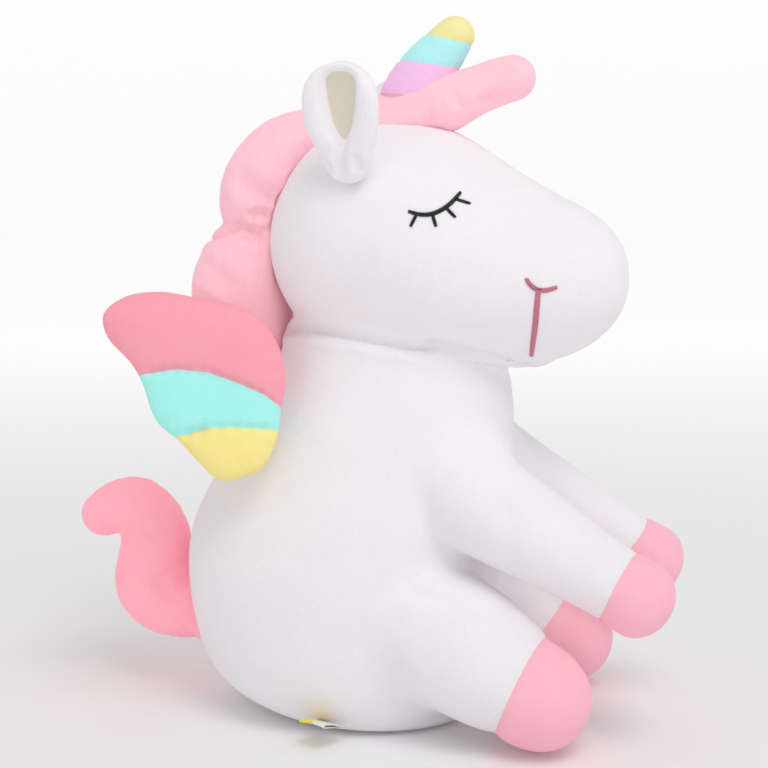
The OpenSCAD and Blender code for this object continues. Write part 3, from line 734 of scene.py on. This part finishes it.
parts = {}
sel = lab == 0
V2, T2, side, (N2,) = split_piece(sel, V[:, 1])
piece("torso_skin_left", V2, T2[side], "white", ["torso_panel_left", "torso_stuffing"], body="torso", N=N2)
piece("torso_skin_right", V2, T2[~side], "white", ["torso_panel_right"], body="torso", N=N2)
piece("neck_skin_lower", V, T[lab == 10], "white", ["neck_stuffing"], blend=LOWER, N=N)
V3, T3, N3 = flange(V, T[lab == 11], N, np.abs(S) < 1e-3, 2.6, NN * 3.4)
piece("neck_skin_upper", V3, T3, "white", [], blend=UPPER, N=N3)
V2, T2, side, (N2,) = split_piece(lab == 12, V[:, 1])
piece("head_skin_left", V2, T2[side], "white", ["head_panel_left", "head_stuffing"], body="head", N=N2)
piece("head_skin_right", V2, T2[~side], "white", ["head_panel_right"], body="head", N=N2)
for i, n in enumerate(keys):
    V2, T2, side, (N2,) = cut(V, T[lab == i + 1], HOOF[n], [N])
    piece(n + "_sleeve_skin", V2, T2[~side], "white", [n + "_sleeve", n + "_stuffing"], blend=blend_of[n], N=N2)
    if n.startswith("front"):
        piece(n + "_hoof_skin", V2, T2[side], "hoof", [n + "_hoof"], body=n, N=N2)
    else:
        piece(n + "_hoof_skin", V2, T2[side], "hoof", [n + "_hoof"], blend=blend_of[n], N=N2)

body_tree = BVHTree.FromPolygons(V.tolist(), T.tolist())

# ------------------------------------------------------------------ embroidery
LID = [[20, 201.3], [23.4, 200.3], [27.4, 200.2], [31.2, 201.6], [34.5, 204.2], [37.3, 208]]
LASHES = [[[22.8, 199.9], [21, 196.0]], [[28.6, 199.9], [30, 196.0]], [[33.2, 202.4], [36.4, 199.2]], [[36.2, 205.6], [41, 204.0]]]
SMILE = [[62, 177], [63.6, 174.6], [66.2, 172.9], [69.3, 172.8], [72.6, 173.8]]
DROP = [[66.2, 172.6], [65.7, 167], [64.8, 160], [63.4, 153], [61.8, 147]]
for side_name, s in (("left", 1), ("right", -1)):
    out = np.array([0.0, s, 0.0])
    rows3 = lambda L: [[p[0], s * 30.0, p[1]] for p in L]
    parts = [satin(rows3(LID), 1.9, body_tree, out)]
    for l in LASHES:
        mid = [(l[0][0] + l[1][0]) / 2, (l[0][1] + l[1][1]) / 2]
        parts.append(satin(rows3([l[0], mid, l[1]]), 1.35, body_tree, out, taper=0.5))
    v, t = merge(parts)
    piece("eye_thread_" + side_name, v, t, "black", ["eye_" + side_name], body="head")
parts = []
for s in (1, -1):
    out = np.array([0.0, s, 0.0])
    parts.append(satin([[p[0], s * 30.0, p[1]] for p in SMILE], 2.0, body_tree, out, taper=0.5))
    parts.append(satin([[p[0], s * 30.0, p[1]] for p in DROP], 2.5, body_tree, out, taper=0.7))
v, t = merge(parts)
piece("mouth_thread", v, t, "rose", ["mouth"], body="head")


# ------------------------------------------------------------------ mane, forelock, tail and horn
def mane_field(P):
    d = tube_field(P, MANE, 3, 0.7, 0.9)
    f = tube_field(P, FORELOCK, 3, 0.6, 1.0)
    d = smin(d, f, 3.0)
    keep = body_rough(P)
    return smax(d, -keep - 2.0, 1.0)


def body_rough(P):
    return np.minimum(torso_field(P), head_field(P))


h = 1.25
V, T = mesh_field(mane_field, (-90, -24, 104), (66, 24, 264), h)
sewn = np.clip((1.5 - body_rough(V)) / 1.5, 0, 1)
V = stuff(V, T, sewn, np.exp(-((V[:, 2] - 193) / 2.5) ** 2) * (V[:, 0] < -40), 0.35, 2500, 2.6)
N = normals(V, T)
tr = BVHTree.FromPolygons(V.tolist(), T.tolist())
for s in (-1, 1):
    # the gathered pinch between the upper and the middle puff, and the folds that run from it
    V = press(V, N, [[-76, s * 2, 190], [-69, s * 11, 191.5], [-62, s * 16, 193], [-54, s * 17, 194.2], [-46, s * 15, 191.6]], 1.7, 1.6, 0.2, False, tr)
    V = press(V, N, [[-51, s * 16, 200.5], [-45, s * 16, 199.5], [-39, s * 14, 197]], 1.7, 1.9, 0.4, True, tr)
    V = press(V, N, [[-55, s * 16, 188.5], [-49, s * 16.5, 189.5], [-42, s * 14, 187]], 1.4, 1.8, 0.4, True, tr)
    V = press(V, N, [[-56, s * 15, 214], [-49, s * 17, 210], [-42, s * 16, 205], [-37, s * 14, 200]], 2.2, 4.2, 0.3, True, tr)
    V = press(V, N, [[-52, s * 16, 226], [-45, s * 16, 227], [-38, s * 14, 232]], 1.0, 3.4, 0.3, True, tr)
    V = press(V, N, [[-80, s * 8, 168], [-72, s * 16, 165.5], [-65, s * 18, 163], [-58, s * 16, 159]], 2.0, 2.4, 0.4, True, tr)
    V = press(V, N, [[-74, s * 12, 182], [-66, s * 17, 178], [-58, s * 18, 172], [-52, s * 16, 166]], 0.9, 3.4, 0.3, True, tr)
    V = press(V, N, [[-66, s * 15, 150], [-58, s * 17, 147], [-50, s * 15, 149]], 1.3, 2.6, 0.3, True, tr)
    V = press(V, N, [[34, s * 8, 238], [40, s * 8, 241], [46, s * 7, 243.5], [52, s * 6, 245]], 0.8, 1.6, 0.3, True, tr)
    V = press(V, N, [[40, s * 8, 250], [47, s * 7.5, 252], [54, s * 6, 253]], 0.8, 1.4, 0.3, True, tr)
    V = press(V, N, [[27, s * 12, 246], [31, s * 11, 243], [33, s * 10.5, 238]], 1.0, 1.8, 0.3, True, tr)
    V = press(V, N, [[2, s * 15, 236], [10, s * 15.5, 239], [18, s * 14.5, 241]], 0.7, 2.0, 0.3, True, tr)
V = groove(V, N, np.where(V[:, 2] > 0, V[:, 1], 50), 0.5, 0.9)
N = normals(V, T)
for level, k in ((142.0, 2), (193.0, 2), (29.0, 0)):
    V, T, _, (N,) = cut(V, T, V[:, k] - level, [N])
N /= np.maximum(np.linalg.norm(N, axis=1), 1e-9)[:, None]
cen = V[T].mean(1)
lab = np.zeros(len(T), int)
lab[cen[:, 2] < 193] = 1
lab[cen[:, 2] < 142] = 2
lab[cen[:, 0] > 29] = 3
MANE_VT = (V, T, N)
piece("mane_skin_upper", V, T[lab == 0], "pink", ["mane_cover_upper", "mane_stuffing_upper", "mane_cover_middle", "mane_stuffing_middle"], body="head", N=N)
V3, T3, N3 = flange(V, T[lab == 1], N, np.abs(V[:, 2] - 193) < 1e-3, 2.2, np.array([0, 0, 3.0]))
piece("mane_skin_middle", V3, T3, "pink", [], blend=("neck", "head", (0, 0, 144), (0, 0, 160)), N=N3)
piece("mane_skin_lower", V, T[lab == 2], "pink", ["mane_cover_lower", "mane_stuffing_lower"], blend=("torso", "neck", (0, 0, 124), (0, 0, 141)), N=N)
piece("forelock_skin", V, T[lab == 3], "pink", ["forelock_cover", "forelock_stuffing"], blend=("head", "forelock", (29, 0, 0), (40, 0, 0)), N=N)
# thread that gathers the tube at the pinch
mane_tree = BVHTree.FromPolygons(V.tolist(), T.tolist())
ring = []
for k in range(46):
    a = math.radians(-125 + 250 * k / 45)
    ring.append(np.array([-57.0 - 20 * math.cos(a), 20 * math.sin(a), 196.4 + 0.8 * math.sin(5 * a)]))
lines = []
for k in range(0, 45, 1):
    p = np.array([-57.0, 0, 196.6])
    seg = []
    for q in (ring[k], ring[k + 1]):
        hit = mane_tree.ray_cast(Vector(q), Vector(p - q).normalized())
        if hit[0] is not None:
            n_ = np.array(hit[1])
            seg.append(np.array(hit[0]) + (-0.3 if k % 2 else -0.55) * n_)
    if len(seg) == 2:
        seg.insert(1, (seg[0] + seg[1]) / 2 + 0.1 * (ring[k] - p) / 20)
        lines.append(seg)
v, t = tubes(lines, 0.35)
piece("mane_thread", v, t, "pinkthread", ["mane_gather_thread"], body="head")


def tail_field(P):
    return smax(tube_field(P, TAILS, 3, 0.5, 0.95), -torso_field(P) - 3.0, 1.0)


V, T = mesh_field(tail_field, (-140, -22, 10), (-66, 22, 96), 1.4)
sewn = np.clip((1.5 - torso_field(V)) / 1.5, 0, 1)
V = stuff(V, T, sewn, 0.6 * np.exp(-(V[:, 1] / 1.5) ** 2) + np.exp(-(np.linalg.norm(V[:, [0, 2]] - [-114, 66], axis=1) / 4) ** 2), 0.3, 3000, 2.2)
N = normals(V, T)
tr = BVHTree.FromPolygons(V.tolist(), T.tolist())
for s in (1, -1):
    V = press(V, N, [[-86, s * 8, 72], [-93, s * 13, 70], [-101, s * 14, 66]], 1.0, 2.4, 0.3, True, tr)
    V = press(V, N, [[-112, s * 8, 62], [-108, s * 12, 68], [-104, s * 13, 74]], 1.1, 2.6, 0.3, True, tr)
    V = press(V, N, [[-84, s * 12, 38], [-90, s * 14, 44], [-93, s * 13, 52]], 0.8, 2.8, 0.3, True, tr)
V = groove(V, N, V[:, 1], 0.5, 0.9)
N = normals(V, T)
piece("tail_skin", V, T, "tail", ["tail_cover", "tail_stuffing"], blend=("torso", "tail", (-79, 0, 33), (-96, 0, 33)), N=N)

V, T = mesh_field(lambda P: smax(tube_field(P, HORN, 3, 0.5, 1.0), -head_field(P) - 2.5, 1.0), (-10, -18, 218), (44, 18, 280), 1.0)
N = normals(V, T)
levels = [((V[:, 0] - c[0]) * d[0] + (V[:, 2] - c[1]) * d[1]) for c, d in BANDS]
ang = np.arctan2(V[:, 1], V[:, 0] - 18) * 10
for q in levels:
    V = groove(V, N, q, 0.32, 0.8, 0.12, ang, 3.4)
N = normals(V, T)
names = [("horn_coral", "horn_coral", ["horn_band_coral", "horn_stuffing"]), ("horn_lilac", "lilac", ["horn_band_lilac"]),
         ("horn_mint", "horn_mint", ["horn_band_mint"]), ("horn_yellow", "horn_yellow", ["horn_tip_yellow"])]
rest_T, rest_V, rest_N = T, V, N
for i, (nm, mt, rp) in enumerate(names):
    if i < 3:
        c, d = BANDS[i]
        q = (rest_V[:, 0] - c[0]) * d[0] + (rest_V[:, 2] - c[1]) * d[1]
        V2, T2, side, (N2,) = cut(rest_V, rest_T, q, [rest_N])
        own, rest_T, rest_V, rest_N = T2[~side], T2[side], V2, N2
    else:
        own, V2, N2 = rest_T, rest_V, rest_N
    piece(nm, V2, own, mt, rp, body="horn", N=N2)

# ------------------------------------------------------------------ ears
EAR_ROWS = [[0.0, 0.42], [0.1, 0.58], [0.25, 0.77], [0.42, 0.93], [0.58, 1.0], [0.74, 0.97], [0.87, 0.80], [0.95, 0.52]]
EAR_LINING = [[-6.3, 35.5], [-3.4, 38.4], [3.2, 38.4], [6.2, 35.5], [6.2, 30], [5.0, 22], [3.4, 16], [0.4, 13.2], [-2.8, 16], [-4.8, 22], [-6.3, 30]]


def polygon_distance(P, poly):
    """Distance to a closed outline in the plane, negative inside."""
    L = np.array(list(poly) + [poly[0]], float)
    best = np.full(len(P), 1e9)
    odd = np.zeros(len(P), bool)
    for A, B in zip(L[:-1], L[1:]):
        d = B - A
        t = np.clip((P - A) @ d / (d @ d), 0, 1)
        best = np.minimum(best, np.linalg.norm(P - (A + t[:, None] * d), axis=1))
        up = (A[1] > P[:, 1]) != (B[1] > P[:, 1])
        if abs(d[1]) > 1e-12:
            odd ^= up & (P[:, 0] < A[0] + (P[:, 1] - A[1]) * d[0] / d[1])
    return np.where(odd, -best, best)


def rot(deg):
    """OpenSCAD's rotate([x, y, z])."""
    x, y, z = (math.radians(a) for a in deg)
    return np.array(Matrix.Rotation(z, 3, "Z") @ Matrix.Rotation(y, 3, "Y") @ Matrix.Rotation(x, 3, "X"))


def ear_mesh(s):
    W, Hh = 15.2, 42.0
    right = [[W * q[1], Hh * q[0]] for q in EAR_ROWS]
    left = [[-a, b] for a, b in reversed(right)]
    line = smooth_line([[0, -2.2]] + right + [[0, Hh]] + left, 6, closed=True)
    n = len(line)
    c = np.array([0.0, 24.0])
    share = 1 - (1 - np.linspace(0.03, 1, 34)) ** 1.15
    flat = np.concatenate([c[None]] + [c + (line - c) * q for q in share])
    do = np.maximum(-polygon_distance(flat, line), 0)
    do[-n:] = 0
    lining = smooth_line(EAR_LINING, 4, closed=True)
    dl = polygon_distance(flat, lining)
    rim = 5.2 * np.sqrt(np.clip(1 - (1 - np.clip(do / 5.6, 0, 1)) ** 2, 0, 1))
    open_ = sstep(dl, -2.2, 3.4)
    yf = rim * open_ + (1 - open_) * (0.3 + 0.010 * (flat[:, 0] ** 2 + 0.25 * (flat[:, 1] - 26) ** 2))
    yb = -4.4 * np.sqrt(np.clip(1 - (1 - np.clip(do / 9.0, 0, 1)) ** 2, 0, 1))
    m = len(share)
    F = np.stack([flat[:, 0], yf, flat[:, 1]], 1)
    B = np.stack([flat[:, 0], yb, flat[:, 1]], 1)[:-n]
    V = np.concatenate([F, B])
    i, k = np.arange(n), (np.arange(n) + 1) % n

    def tri(at):
        out = [np.stack([np.full(n, at(-1)), at(0) + i, at(0) + k], 1)]
        for j in range(m - 1):
            a, b = at(j), at(j + 1)
            out += [np.stack([a + i, b + i, b + k], 1), np.stack([a + i, b + k, a + k], 1)]
        return np.concatenate(out)
    nf = len(F)
    T = np.concatenate([tri(lambda j: 0 if j < 0 else 1 + j * n), tri(lambda j: nf if j < 0 else (1 + j * n if j == m - 1 else nf + 1 + j * n))[:, ::-1]])
    dl = np.concatenate([dl, np.full(len(B), 30.0)])
    z = V[:, 2] / Hh
    V[:, 1] *= 0.6 + 0.4 * sstep(z, -0.1, 0.4)
    V[:, 1] += 3.4 * (V[:, 0] / W) ** 2 + 2.0 * sstep(z, 0.3, 1.1) - 1.0
    V[:, 0] += 1.6 * (1 - sstep(z, 0.0, 0.5))
    V[:, 2] += 2.0
    Nn = normals(V, T)
    if Nn[0] @ [0, 1, 0] < 0:
        T = T[:, ::-1]
        Nn = normals(V, T)
    # folds where the two rims meet below the lining, and the pinch at the root
    V = press(V, Nn, [[0.8, 3.5, 17.5], [0.6, 3.5, 12], [0.4, 3, 7], [0.2, 3, 2]], 2.0, 1.7, 0.25, False)
    V = press(V, Nn, [[8.6, 3.5, 3.4], [7.4, 3.2, 7.6], [6.6, 3, 11.5]], 1.3, 1.5, 0.3)
    V = press(V, Nn, [[-4.6, 3, 3.0], [-4.4, 3, 8]], 0.9, 1.5, 0.3)
    R = rot((-6, 4, 12))
    V = V @ R.T + EAR
    if s < 0:
        V = V * np.array([1, -1, 1])
        T = T[:, ::-1]
    return V, T, dl


for side_name, s in (("left", 1), ("right", -1)):
    V, T, dl = ear_mesh(s)
    N = normals(V, T)
    V, T, outer, (N,) = cut(V, T, dl + 0.4, [N])
    a = np.array([-5, s * 41.5, 207.0])
    b = np.array([-5, s * 41.5, 222.0])
    bl = ("head", "ear_" + side_name, a, b)
    piece("ear_%s_skin" % side_name, V, T[outer], "white", ["ear_%s_back" % side_name], blend=bl, N=N)
    piece("ear_%s_inner" % side_name, V, T[~outer], "cream", ["ear_%s_lining" % side_name], blend=bl, N=N)

# ------------------------------------------------------------------ wings
ARC1 = [[70, 3], [56, 6.5], [48, 9], [36, 11.6], [24, 11], [14, 8], [3, 4], [-3, 0], [-12, -6]]
ARC2 = [[50, -16], [32, -13], [24, -10], [14, -9], [-1, -9], [-12, -9.5]]


def wing_mesh():
    line = smooth_line(WING_LINE, 9, closed=True)
    n = len(line)
    c = np.array([26.0, 9.0])
    shares = np.concatenate([1 - 0.94 * (np.linspace(0, 1, 30) ** 1.35)])
    mid = []
    for sh in shares:
        mid.append(c + (line - c) * sh)
    flat = np.concatenate(mid + [c[None]])
    P3 = np.stack([flat[:, 0], np.zeros(len(flat)), flat[:, 1]], 1)
    L3 = np.stack([line[:, 0], np.zeros(n), line[:, 1]], 1)
    L3 = np.concatenate([L3, L3[:1]])
    d, at, total = line_distance(P3, L3)
    g1 = flat[:, 1] - np.interp(flat[:, 0], *np.array(sorted(ARC1)).T)
    g2 = flat[:, 1] - np.interp(flat[:, 0], *np.array(sorted(ARC2)).T)
    R = 17.0
    q = np.clip(d / R, 0, 1)
    hgt = 6.6 * np.sqrt(np.clip(1 - (1 - q) ** 2, 0, 1)) ** 0.9
    hgt *= 1 - 0.10 * np.cos(2 * np.pi * at / 7.5 + 1.3 * np.sin(at / 11.0)) * np.exp(-d / 4.5) * sstep(d, 0, 1.2)
    for g, ph in ((g1, 0.0), (g2, 1.7)):
        wave = 0.5 + 0.5 * np.cos(2 * np.pi * flat[:, 0] / 5.2 + ph + 1.2 * np.sin(flat[:, 0] / 6.1))
        hgt -= (1.5 * np.exp(-(g / 1.5) ** 2) + 0.7 * wave * np.exp(-(np.abs(g) / 4.2) ** 1.6)) * sstep(d, 0, 6)
    hgt = np.maximum(hgt, 0)
    ring = n
    m = len(shares)
    V, g1a, g2a = [], [], []
    out_idx = np.arange(len(flat))
    up = np.stack([-flat[:, 0], hgt, flat[:, 1]], 1)
    dn = np.stack([-flat[:, 0], -hgt, flat[:, 1]], 1)
    V = np.concatenate([up, dn[n:]])
    i, k = np.arange(n), (np.arange(n) + 1) % n
    def tri(base_fn):
        Ts = []
        for j in range(m - 1):
            a, b = base_fn(j), base_fn(j + 1)
            Ts += [np.stack([a + i, a + k, b + k], 1), np.stack([a + i, b + k, b + i], 1)]
        last = base_fn(m - 1)
        Ts.append(np.stack([last + i, last + k, np.full(n, base_fn(m))], 1))
        return np.concatenate(Ts)
    top = tri(lambda j: j * n)
    bot = tri(lambda j: 0 if j == 0 else len(flat) + (j - 1) * n)
    T = np.concatenate([top, bot[:, ::-1]])
    G1 = np.concatenate([g1, g1[n:]])
    G2 = np.concatenate([g2, g2[n:]])
    D = np.concatenate([d, d[n:]])
    # a sewn edge stands out a little, and the whole pad is slightly dished
    x, z = V[:, 0], V[:, 2]
    V[:, 1] += 0.0016 * ((x + 26) ** 2 + (z - 8) ** 2) - 1.2
    Nn = normals(V, T)
    if Nn[len(flat) - 1] @ [0, 1, 0] < 0:
        T = T[:, ::-1]
    return V, T, G1, G2


WV, WT, WG1, WG2 = wing_mesh()
for side_name, s in (("left", 1), ("right", -1)):
    R = rot((12, 0, 0)) @ rot((0, 0, -20))
    V = WV @ R.T + WING
    T = WT
    if s < 0:
        V = V * np.array([1, -1, 1])
        T = T[:, ::-1]
    N = normals(V, T)
    d = rot((12, 0, 0)) @ rot((0, 0, -20)) @ np.array([-1.0, 0, 0])
    d = d * np.array([1, s, 1])
    c = WING * np.array([1, s, 1])
    bl = ("torso", "wing_" + side_name, c - d * 1.0, c + d * 10.0)
    V2, T2, up_, (N2, G2) = cut(V, T, WG1, [N, WG2])
    piece("wing_%s_strip_coral" % side_name, V2, T2[up_], "coral", ["wing_%s_coral" % side_name, "wing_%s_wadding" % side_name], blend=bl, N=N2)
    V3, T3, up3, (N3,) = cut(V2, T2[~up_], G2, [N2])
    piece("wing_%s_strip_mint" % side_name, V3, T3[up3], "mint", ["wing_%s_mint" % side_name], blend=bl, N=N3)
    piece("wing_%s_strip_yellow" % side_name, V3, T3[~up3], "yellow", ["wing_%s_yellow" % side_name], blend=bl, N=N3)

# ------------------------------------------------------------------ seat panel, its seam and the care label
n = 96
rings, k = [], np.arange(n)
for r, z in ((0, 0.0), (14, 0.0), (24, 0.0), (30, 0.0), (32.4, 0.15), (33.6, 0.9), (33.8, 1.9)):
    if r:
        rings.append(np.stack([r * np.cos(2 * np.pi * k / n), r * np.sin(2 * np.pi * k / n), np.full(n, z)], 1))
V = np.concatenate([[[0, 0, 0.0]]] + rings)
T = [np.stack([np.zeros(n, int), 1 + (k + 1) % n, 1 + k], 1)]
for j in range(len(rings) - 1):
    a, b = 1 + j * n, 1 + (j + 1) * n
    T += [np.stack([a + k, a + (k + 1) % n, b + (k + 1) % n], 1), np.stack([a + k, b + (k + 1) % n, b + k], 1)]
piece("seat_panel_skin", V, np.concatenate(T), "white", ["seat_panel"], body="torso")

sat = bpy.data.materials.new("satin_label")
sat.use_nodes = True
nt = sat.node_tree
b = nt.nodes["Principled BSDF"]
co = nt.nodes.new("ShaderNodeTexCoord")
w = nt.nodes.new("ShaderNodeTexWave")
w.inputs["Scale"].default_value = 900
w.inputs["Distortion"].default_value = 0.6
nt.links.new(co.outputs["Object"], w.inputs["Vector"])
mix = nt.nodes.new("ShaderNodeMix")
mix.data_type = "RGBA"
mix.inputs["A"].default_value = lin((244, 243, 240))
mix.inputs["B"].default_value = lin((228, 226, 222))
nt.links.new(w.outputs["Fac"], mix.inputs["Factor"])
nt.links.new(mix.outputs["Result"], b.inputs["Base Color"])
bp = nt.nodes.new("ShaderNodeBump")
bp.inputs["Strength"].default_value = 0.2
bp.inputs["Distance"].default_value = 0.0001
nt.links.new(w.outputs["Fac"], bp.inputs["Height"])
nt.links.new(bp.outputs["Normal"], b.inputs["Normal"])
b.inputs["Roughness"].default_value = 0.35
b.inputs["Sheen Weight"].default_value = 0.2
MAT["satin"] = sat

cl = np.array([math.cos(math.radians(249)), math.sin(math.radians(249)), 0])
cn = np.array([-cl[1], cl[0], 0])


def label_mesh():
    # one satin tape folded in half: out along the upper leaf, round the fold, back along the lower leaf
    prof = []
    for u in np.linspace(0, 1, 14):
        prof.append([12.4 * u - 1.0, 0.45 + 4.4 * u + 0.5 * math.sin(2.6 * u)])
    end = prof[-1]
    for a in np.linspace(80, -80, 6):
        prof.append([end[0] + 0.45 * math.cos(math.radians(a)), end[1] - 0.5 + 0.45 * math.sin(math.radians(a))])
    for u in np.linspace(1, 0, 14):
        prof.append([12.4 * u - 1.0, -0.25 + 4.1 * u + 0.25 * math.sin(2.6 * u)])
    prof = np.array(prof)
    m, k = len(prof), 13
    V = []
    for j in range(k):
        w_ = -6 + 12 * j / (k - 1)
        for p in prof:
            V.append(LABEL + cl * p[0] + cn * w_ + np.array([0, 0, p[1] + 0.35 * math.sin(w_ * 0.45 + p[0] * 0.12) * p[0] / 13]))
    V = np.array(V)
    Q = [[j * m + i, j * m + i + 1, (j + 1) * m + i + 1, (j + 1) * m + i] for j in range(k - 1) for i in range(m - 1)]
    Q = np.array(Q)
    return V, np.concatenate([Q[:, [0, 1, 2]], Q[:, [0, 2, 3]]])


V, T = label_mesh()
V[:, 2] = np.maximum(V[:, 2], 0.35)
lb = make("care_label_tape", V, T, sat)
m = bpy.data.materials.new("satin_label_yellow")
m = velour("label_yellow_band", (246, 226, 104), (236, 212, 84), 0.1)
lb.data.materials.append(m)
cen = V[T].mean(1)
band = ((cen - LABEL) @ cl > 1.0) & ((cen - LABEL) @ cn < 0.5)
for p, f in zip(lb.data.polygons, band):
    p.material_index = int(f)
sol = lb.modifiers.new("thick", "SOLIDIFY")
sol.thickness = 0.00022
sol.offset = 0
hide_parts("care_label")
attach(lb, "label")

# ladder stitches that close the neck, down in the crease under the head
lines = []
for k in range(58):
    a = 2 * math.pi * k / 58
    o = np.array([3 + 70 * math.cos(a), 60 * math.sin(a), 148.9 - 0.124 * 45 * math.cos(a)])
    c = np.array([3.0, 0, o[2]])
    if -78 < o[0] < -40 and abs(o[1]) < 26:
        continue
    seg = []
    for dz in (-1.5, 0, 1.5):
        p = o + [0, 0, dz]
        hit = body_tree.ray_cast(Vector(p), Vector(c + np.array([0, 0, dz]) - p).normalized())
        if hit[0] is not None:
            seg.append(np.array(hit[0]) + np.array(hit[1]) * (-0.26 if dz == 0 else -0.5))
    if len(seg) == 3:
        lines.append(seg)
v, t = tubes(lines, 0.22)
piece("neck_thread", v, t, "sew", ["neck_closing_thread"], blend=UPPER)

# ------------------------------------------------------------------ floor, light and camera
floor_me = bpy.data.meshes.new("floor")
prof = [(0.0, 0.0), (1.0, 0.0), (2.0, 0.0)] + [(2.0 + 1.8 * math.sin(t), 1.8 * (1 - math.cos(t))) for t in np.linspace(0.08, 1.15, 14)]
nr = 96
fv = [(0.0, 0.0, 0.0)] + [(r * math.cos(2 * math.pi * k / nr), r * math.sin(2 * math.pi * k / nr), z) for r, z in prof[1:] for k in range(nr)]
ff = [(0, 1 + k, 1 + (k + 1) % nr) for k in range(nr)]
for j in range(len(prof) - 2):
    a, b = 1 + j * nr, 1 + (j + 1) * nr
    ff += [(a + k, b + k, b + (k + 1) % nr, a + (k + 1) % nr) for k in range(nr)]
floor_me.from_pydata(fv, [], ff)
floor_me.polygons.foreach_set("use_smooth", np.ones(len(ff), bool))
floor = bpy.data.objects.new("floor", floor_me)
bpy.context.scene.collection.objects.link(floor)
fm = bpy.data.materials.new("floor")
fm.use_nodes = True
fm.node_tree.nodes["Principled BSDF"].inputs["Base Color"].default_value = (0.88, 0.88, 0.885, 1)
fm.node_tree.nodes["Principled BSDF"].inputs["Roughness"].default_value = 0.8
nt = fm.node_tree
co = nt.nodes.new("ShaderNodeTexCoord")
ln = nt.nodes.new("ShaderNodeVectorMath")
ln.operation = "LENGTH"
nt.links.new(co.outputs["Object"], ln.inputs[0])
mr = nt.nodes.new("ShaderNodeMapRange")
mr.interpolation_type = "SMOOTHSTEP"
mr.inputs["From Min"].default_value, mr.inputs["From Max"].default_value = 0.0, 1.7
mr.inputs["To Min"].default_value, mr.inputs["To Max"].default_value = 0.03, 0.4
nt.links.new(ln.outputs["Value"], mr.inputs["Value"])
nt.nodes["Principled BSDF"].inputs["Emission Color"].default_value = (1, 1, 1, 1)
nt.links.new(mr.outputs["Result"], nt.nodes["Principled BSDF"].inputs["Emission Strength"])
floor_me.materials.append(fm)

world = bpy.data.worlds.new("studio")
bpy.context.scene.world = world
world.use_nodes = True
world.node_tree.nodes["Background"].inputs["Color"].default_value = (1, 1, 1, 1)
world.node_tree.nodes["Background"].inputs["Strength"].default_value = 0.54


def area(name, loc, target, size, power, colour=(1, 1, 1)):
    l = bpy.data.lights.new(name, "AREA")
    l.size = size
    l.energy = power
    l.color = colour
    o = bpy.data.objects.new(name, l)
    bpy.context.scene.collection.objects.link(o)
    o.location = loc
    o.rotation_mode = "QUATERNION"
    o.rotation_quaternion = (Vector(target) - Vector(loc)).to_track_quat("-Z", "Y")
    return o


area("key", (0.5, -0.6, 1.3), (0, 0, 0.13), 0.7, 6.6)
area("fill", (-0.9, -0.8, 0.7), (0, 0, 0.13), 1.0, 0.6)
area("back", (-0.3, 1.0, 0.9), (0, 0, 0.15), 0.9, 1.4)

a, e, D = math.radians(14), math.radians(8), 0.6
back = Vector((math.sin(a) * math.cos(e), -math.cos(a) * math.cos(e), math.sin(e)))
cam = bpy.data.cameras.new("camera")
cam.lens = 70.3125
cam.sensor_width = 36
cam.clip_start, cam.clip_end = 0.01, 50
cam_ob = bpy.data.objects.new("camera", cam)
bpy.context.scene.collection.objects.link(cam_ob)
cam_ob.location = Vector((0, 0, 0.1315)) + back * D
cam_ob.rotation_mode = "QUATERNION"
cam_ob.rotation_quaternion = (-back).to_track_quat("-Z", "Y")
bpy.context.scene.camera = cam_ob
bpy.context.scene.view_settings.view_transform = "Standard"
